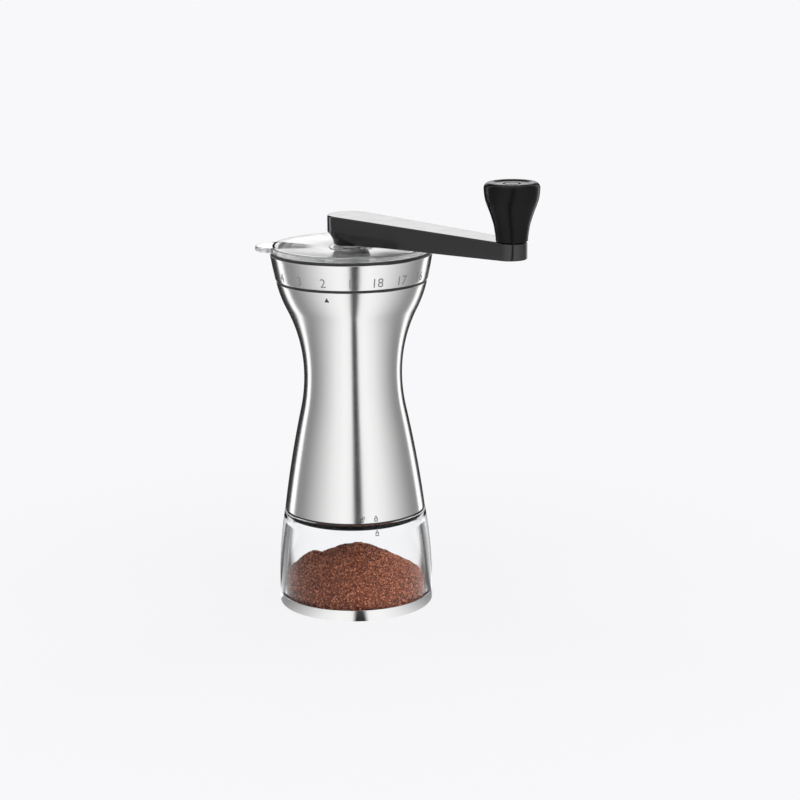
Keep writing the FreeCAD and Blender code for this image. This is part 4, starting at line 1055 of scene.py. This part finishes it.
def stageFloor():
    material, tree = emptyMaterial("paleFloor")
    out = tree.nodes.new("ShaderNodeOutputMaterial")
    ray = tree.nodes.new("ShaderNodeLightPath")
    place = linkNode(tree, "ShaderNodeNewGeometry").outputs["Position"]
    away = linkNode(tree, "ShaderNodeVectorMath", {0: place}, operation="LENGTH").outputs["Value"]
    near = linkNode(tree, "ShaderNodeMapRange", {
        "Value": away, "From Min": stageLook["shadeNear"], "From Max": stageLook["shadeFar"],
        "To Min": stageLook["floorShade"], "To Max": 0.0}, interpolation_type="SMOOTHSTEP").outputs[0]
    plain = linkNode(tree, "ShaderNodeBsdfDiffuse", {"Color": stageLook["floorTone"]})
    glow = linkNode(tree, "ShaderNodeEmission", {"Color": stageLook["pale"], "Strength": 1.0})
    seen = mixedShader(tree, near, glow, plain)
    tone, share, _ = surroundValue(tree)
    tent = linkNode(tree, "ShaderNodeEmission", {"Strength": tone})
    through = insideLight(tree, ray, toneCurve(tree, share, glassTones), stageLook["insideFloor"])
    glass = linkNode(tree, "ShaderNodeEmission", {"Color": stageLook["pale"], "Strength": through})
    first = mixedShader(tree, ray.outputs["Is Camera Ray"], plain, seen)
    second = mixedShader(tree, ray.outputs["Is Transmission Ray"], first, glass)
    last = mixedShader(tree, mirrorOnly(tree, ray), second, tent)
    tree.links.new(last.outputs[0], out.inputs[0])
    size = stageLook["floorRadius"]
    floor = meshObject("stageFloor", [(-size, -size, 0), (size, -size, 0), (size, size, 0), (-size, size, 0)],
                       [(0, 1, 2, 3)], smooth=False)
    floor.data.materials.append(material)


def stageTent():
    # a round wall of panels that only reflections and light see
    material, tree = emptyMaterial("tentPanels")
    out = tree.nodes.new("ShaderNodeOutputMaterial")
    tone, share, height = surroundValue(tree)
    behind = toneCurve(tree, share, backTones)
    spread = between(tree, height, 0.0, 1.0, stageLook["backLow"], stageLook["backHigh"])
    rise = toneCurve(tree, spread, backRise)
    glowBack = mathNode(tree, "MULTIPLY", behind, rise)
    glow = linkNode(tree, "ShaderNodeEmission", {"Strength": mathNode(tree, "ADD", tone, glowBack)})
    ray = tree.nodes.new("ShaderNodeLightPath")
    clear = tree.nodes.new("ShaderNodeBsdfTransparent")
    wall = mixedShader(tree, ray.outputs["Is Transmission Ray"], glow, clear)
    tree.links.new(wall.outputs[0], out.inputs[0])
    r, h, count = stageLook["tentRadius"], stageLook["tentHeight"], stageLook["tentPanels"]
    ring = [(r * math.cos(fullTurn * k / count), r * math.sin(fullTurn * k / count)) for k in range(count)]
    points = [(x, y, mm) for x, y in ring] + [(x, y, h) for x, y in ring]
    tent = meshObject("stageTent", points, bands([range(count), range(count, 2 * count)]))
    tent.data.materials.append(material)
    tent.visible_camera = False
    tent.visible_shadow = False


lampSize = {"place": (0.0, 0.1, 1.3), "target": (0, 0, 0.1), "size": (1.2, 1.2), "power": 5.0}


def panel(name, size):
    light = bpy.data.lights.new(name, "AREA")
    light.shape = "RECTANGLE"
    light.size, light.size_y = size["size"]
    light.energy = size["power"]
    obj = added(name, light)
    obj.location = size["place"]
    way = Vector(size["target"]) - Vector(size["place"])
    obj.rotation_euler = way.to_track_quat("-Z", "Y").to_euler()
    obj.visible_camera = False


stageFloor()
stageTent()
panel("topPanel", lampSize)

world = bpy.data.worlds.new("studioWorld")
scene.world = world
world.use_nodes = True
worldTree = world.node_tree
worldTree.nodes.clear()
worldOut = worldTree.nodes.new("ShaderNodeOutputWorld")
ray = worldTree.nodes.new("ShaderNodeLightPath")
fill = linkNode(worldTree, "ShaderNodeBackground", {"Color": (1, 1, 1, 1), "Strength": stageLook["worldFill"]})
skyWay = linkNode(worldTree, "ShaderNodeTexCoord").outputs["Generated"]
toward = linkNode(worldTree, "ShaderNodeSeparateXYZ", {0: skyWay})
sideways = between(worldTree, toward.outputs[0], stageLook["insideLeft"], stageLook["insideRight"],
                   -stageLook["insideSpread"], stageLook["insideSpread"])
pale = linkNode(worldTree, "ShaderNodeBackground", {
    "Color": stageLook["pale"], "Strength": insideLight(worldTree, ray, 1.0, sideways)})
glassOrEye = mathNode(worldTree, "MAXIMUM", ray.outputs["Is Camera Ray"], ray.outputs["Is Transmission Ray"])
anyOf = mathNode(worldTree, "MAXIMUM", glassOrEye, ray.outputs["Is Glossy Ray"])
sky = mixedShader(worldTree, anyOf, fill, pale)
worldTree.links.new(sky.outputs[0], worldOut.inputs[0])

cameraSize = {
    "place": (0.019794, -0.91106, 0.30542), "pitch": 76.579, "roll": -0.59,
    "focal": 2197.8, "pixels": 800, "sensor": 36.0,
}
eye = bpy.data.cameras.new("photoCamera")
eye.sensor_width = cameraSize["sensor"]
eye.lens = cameraSize["focal"] / cameraSize["pixels"] * cameraSize["sensor"]
eyeObject = added("photoCamera", eye)
pitch = Matrix.Rotation(math.radians(cameraSize["pitch"]), 4, "X")
roll = Matrix.Rotation(math.radians(cameraSize["roll"]), 4, "Z")
eyeObject.matrix_world = Matrix.Translation(cameraSize["place"]) @ pitch @ roll
scene.camera = eyeObject
scene.view_settings.view_transform = "Standard"
print("stage, light and camera set")
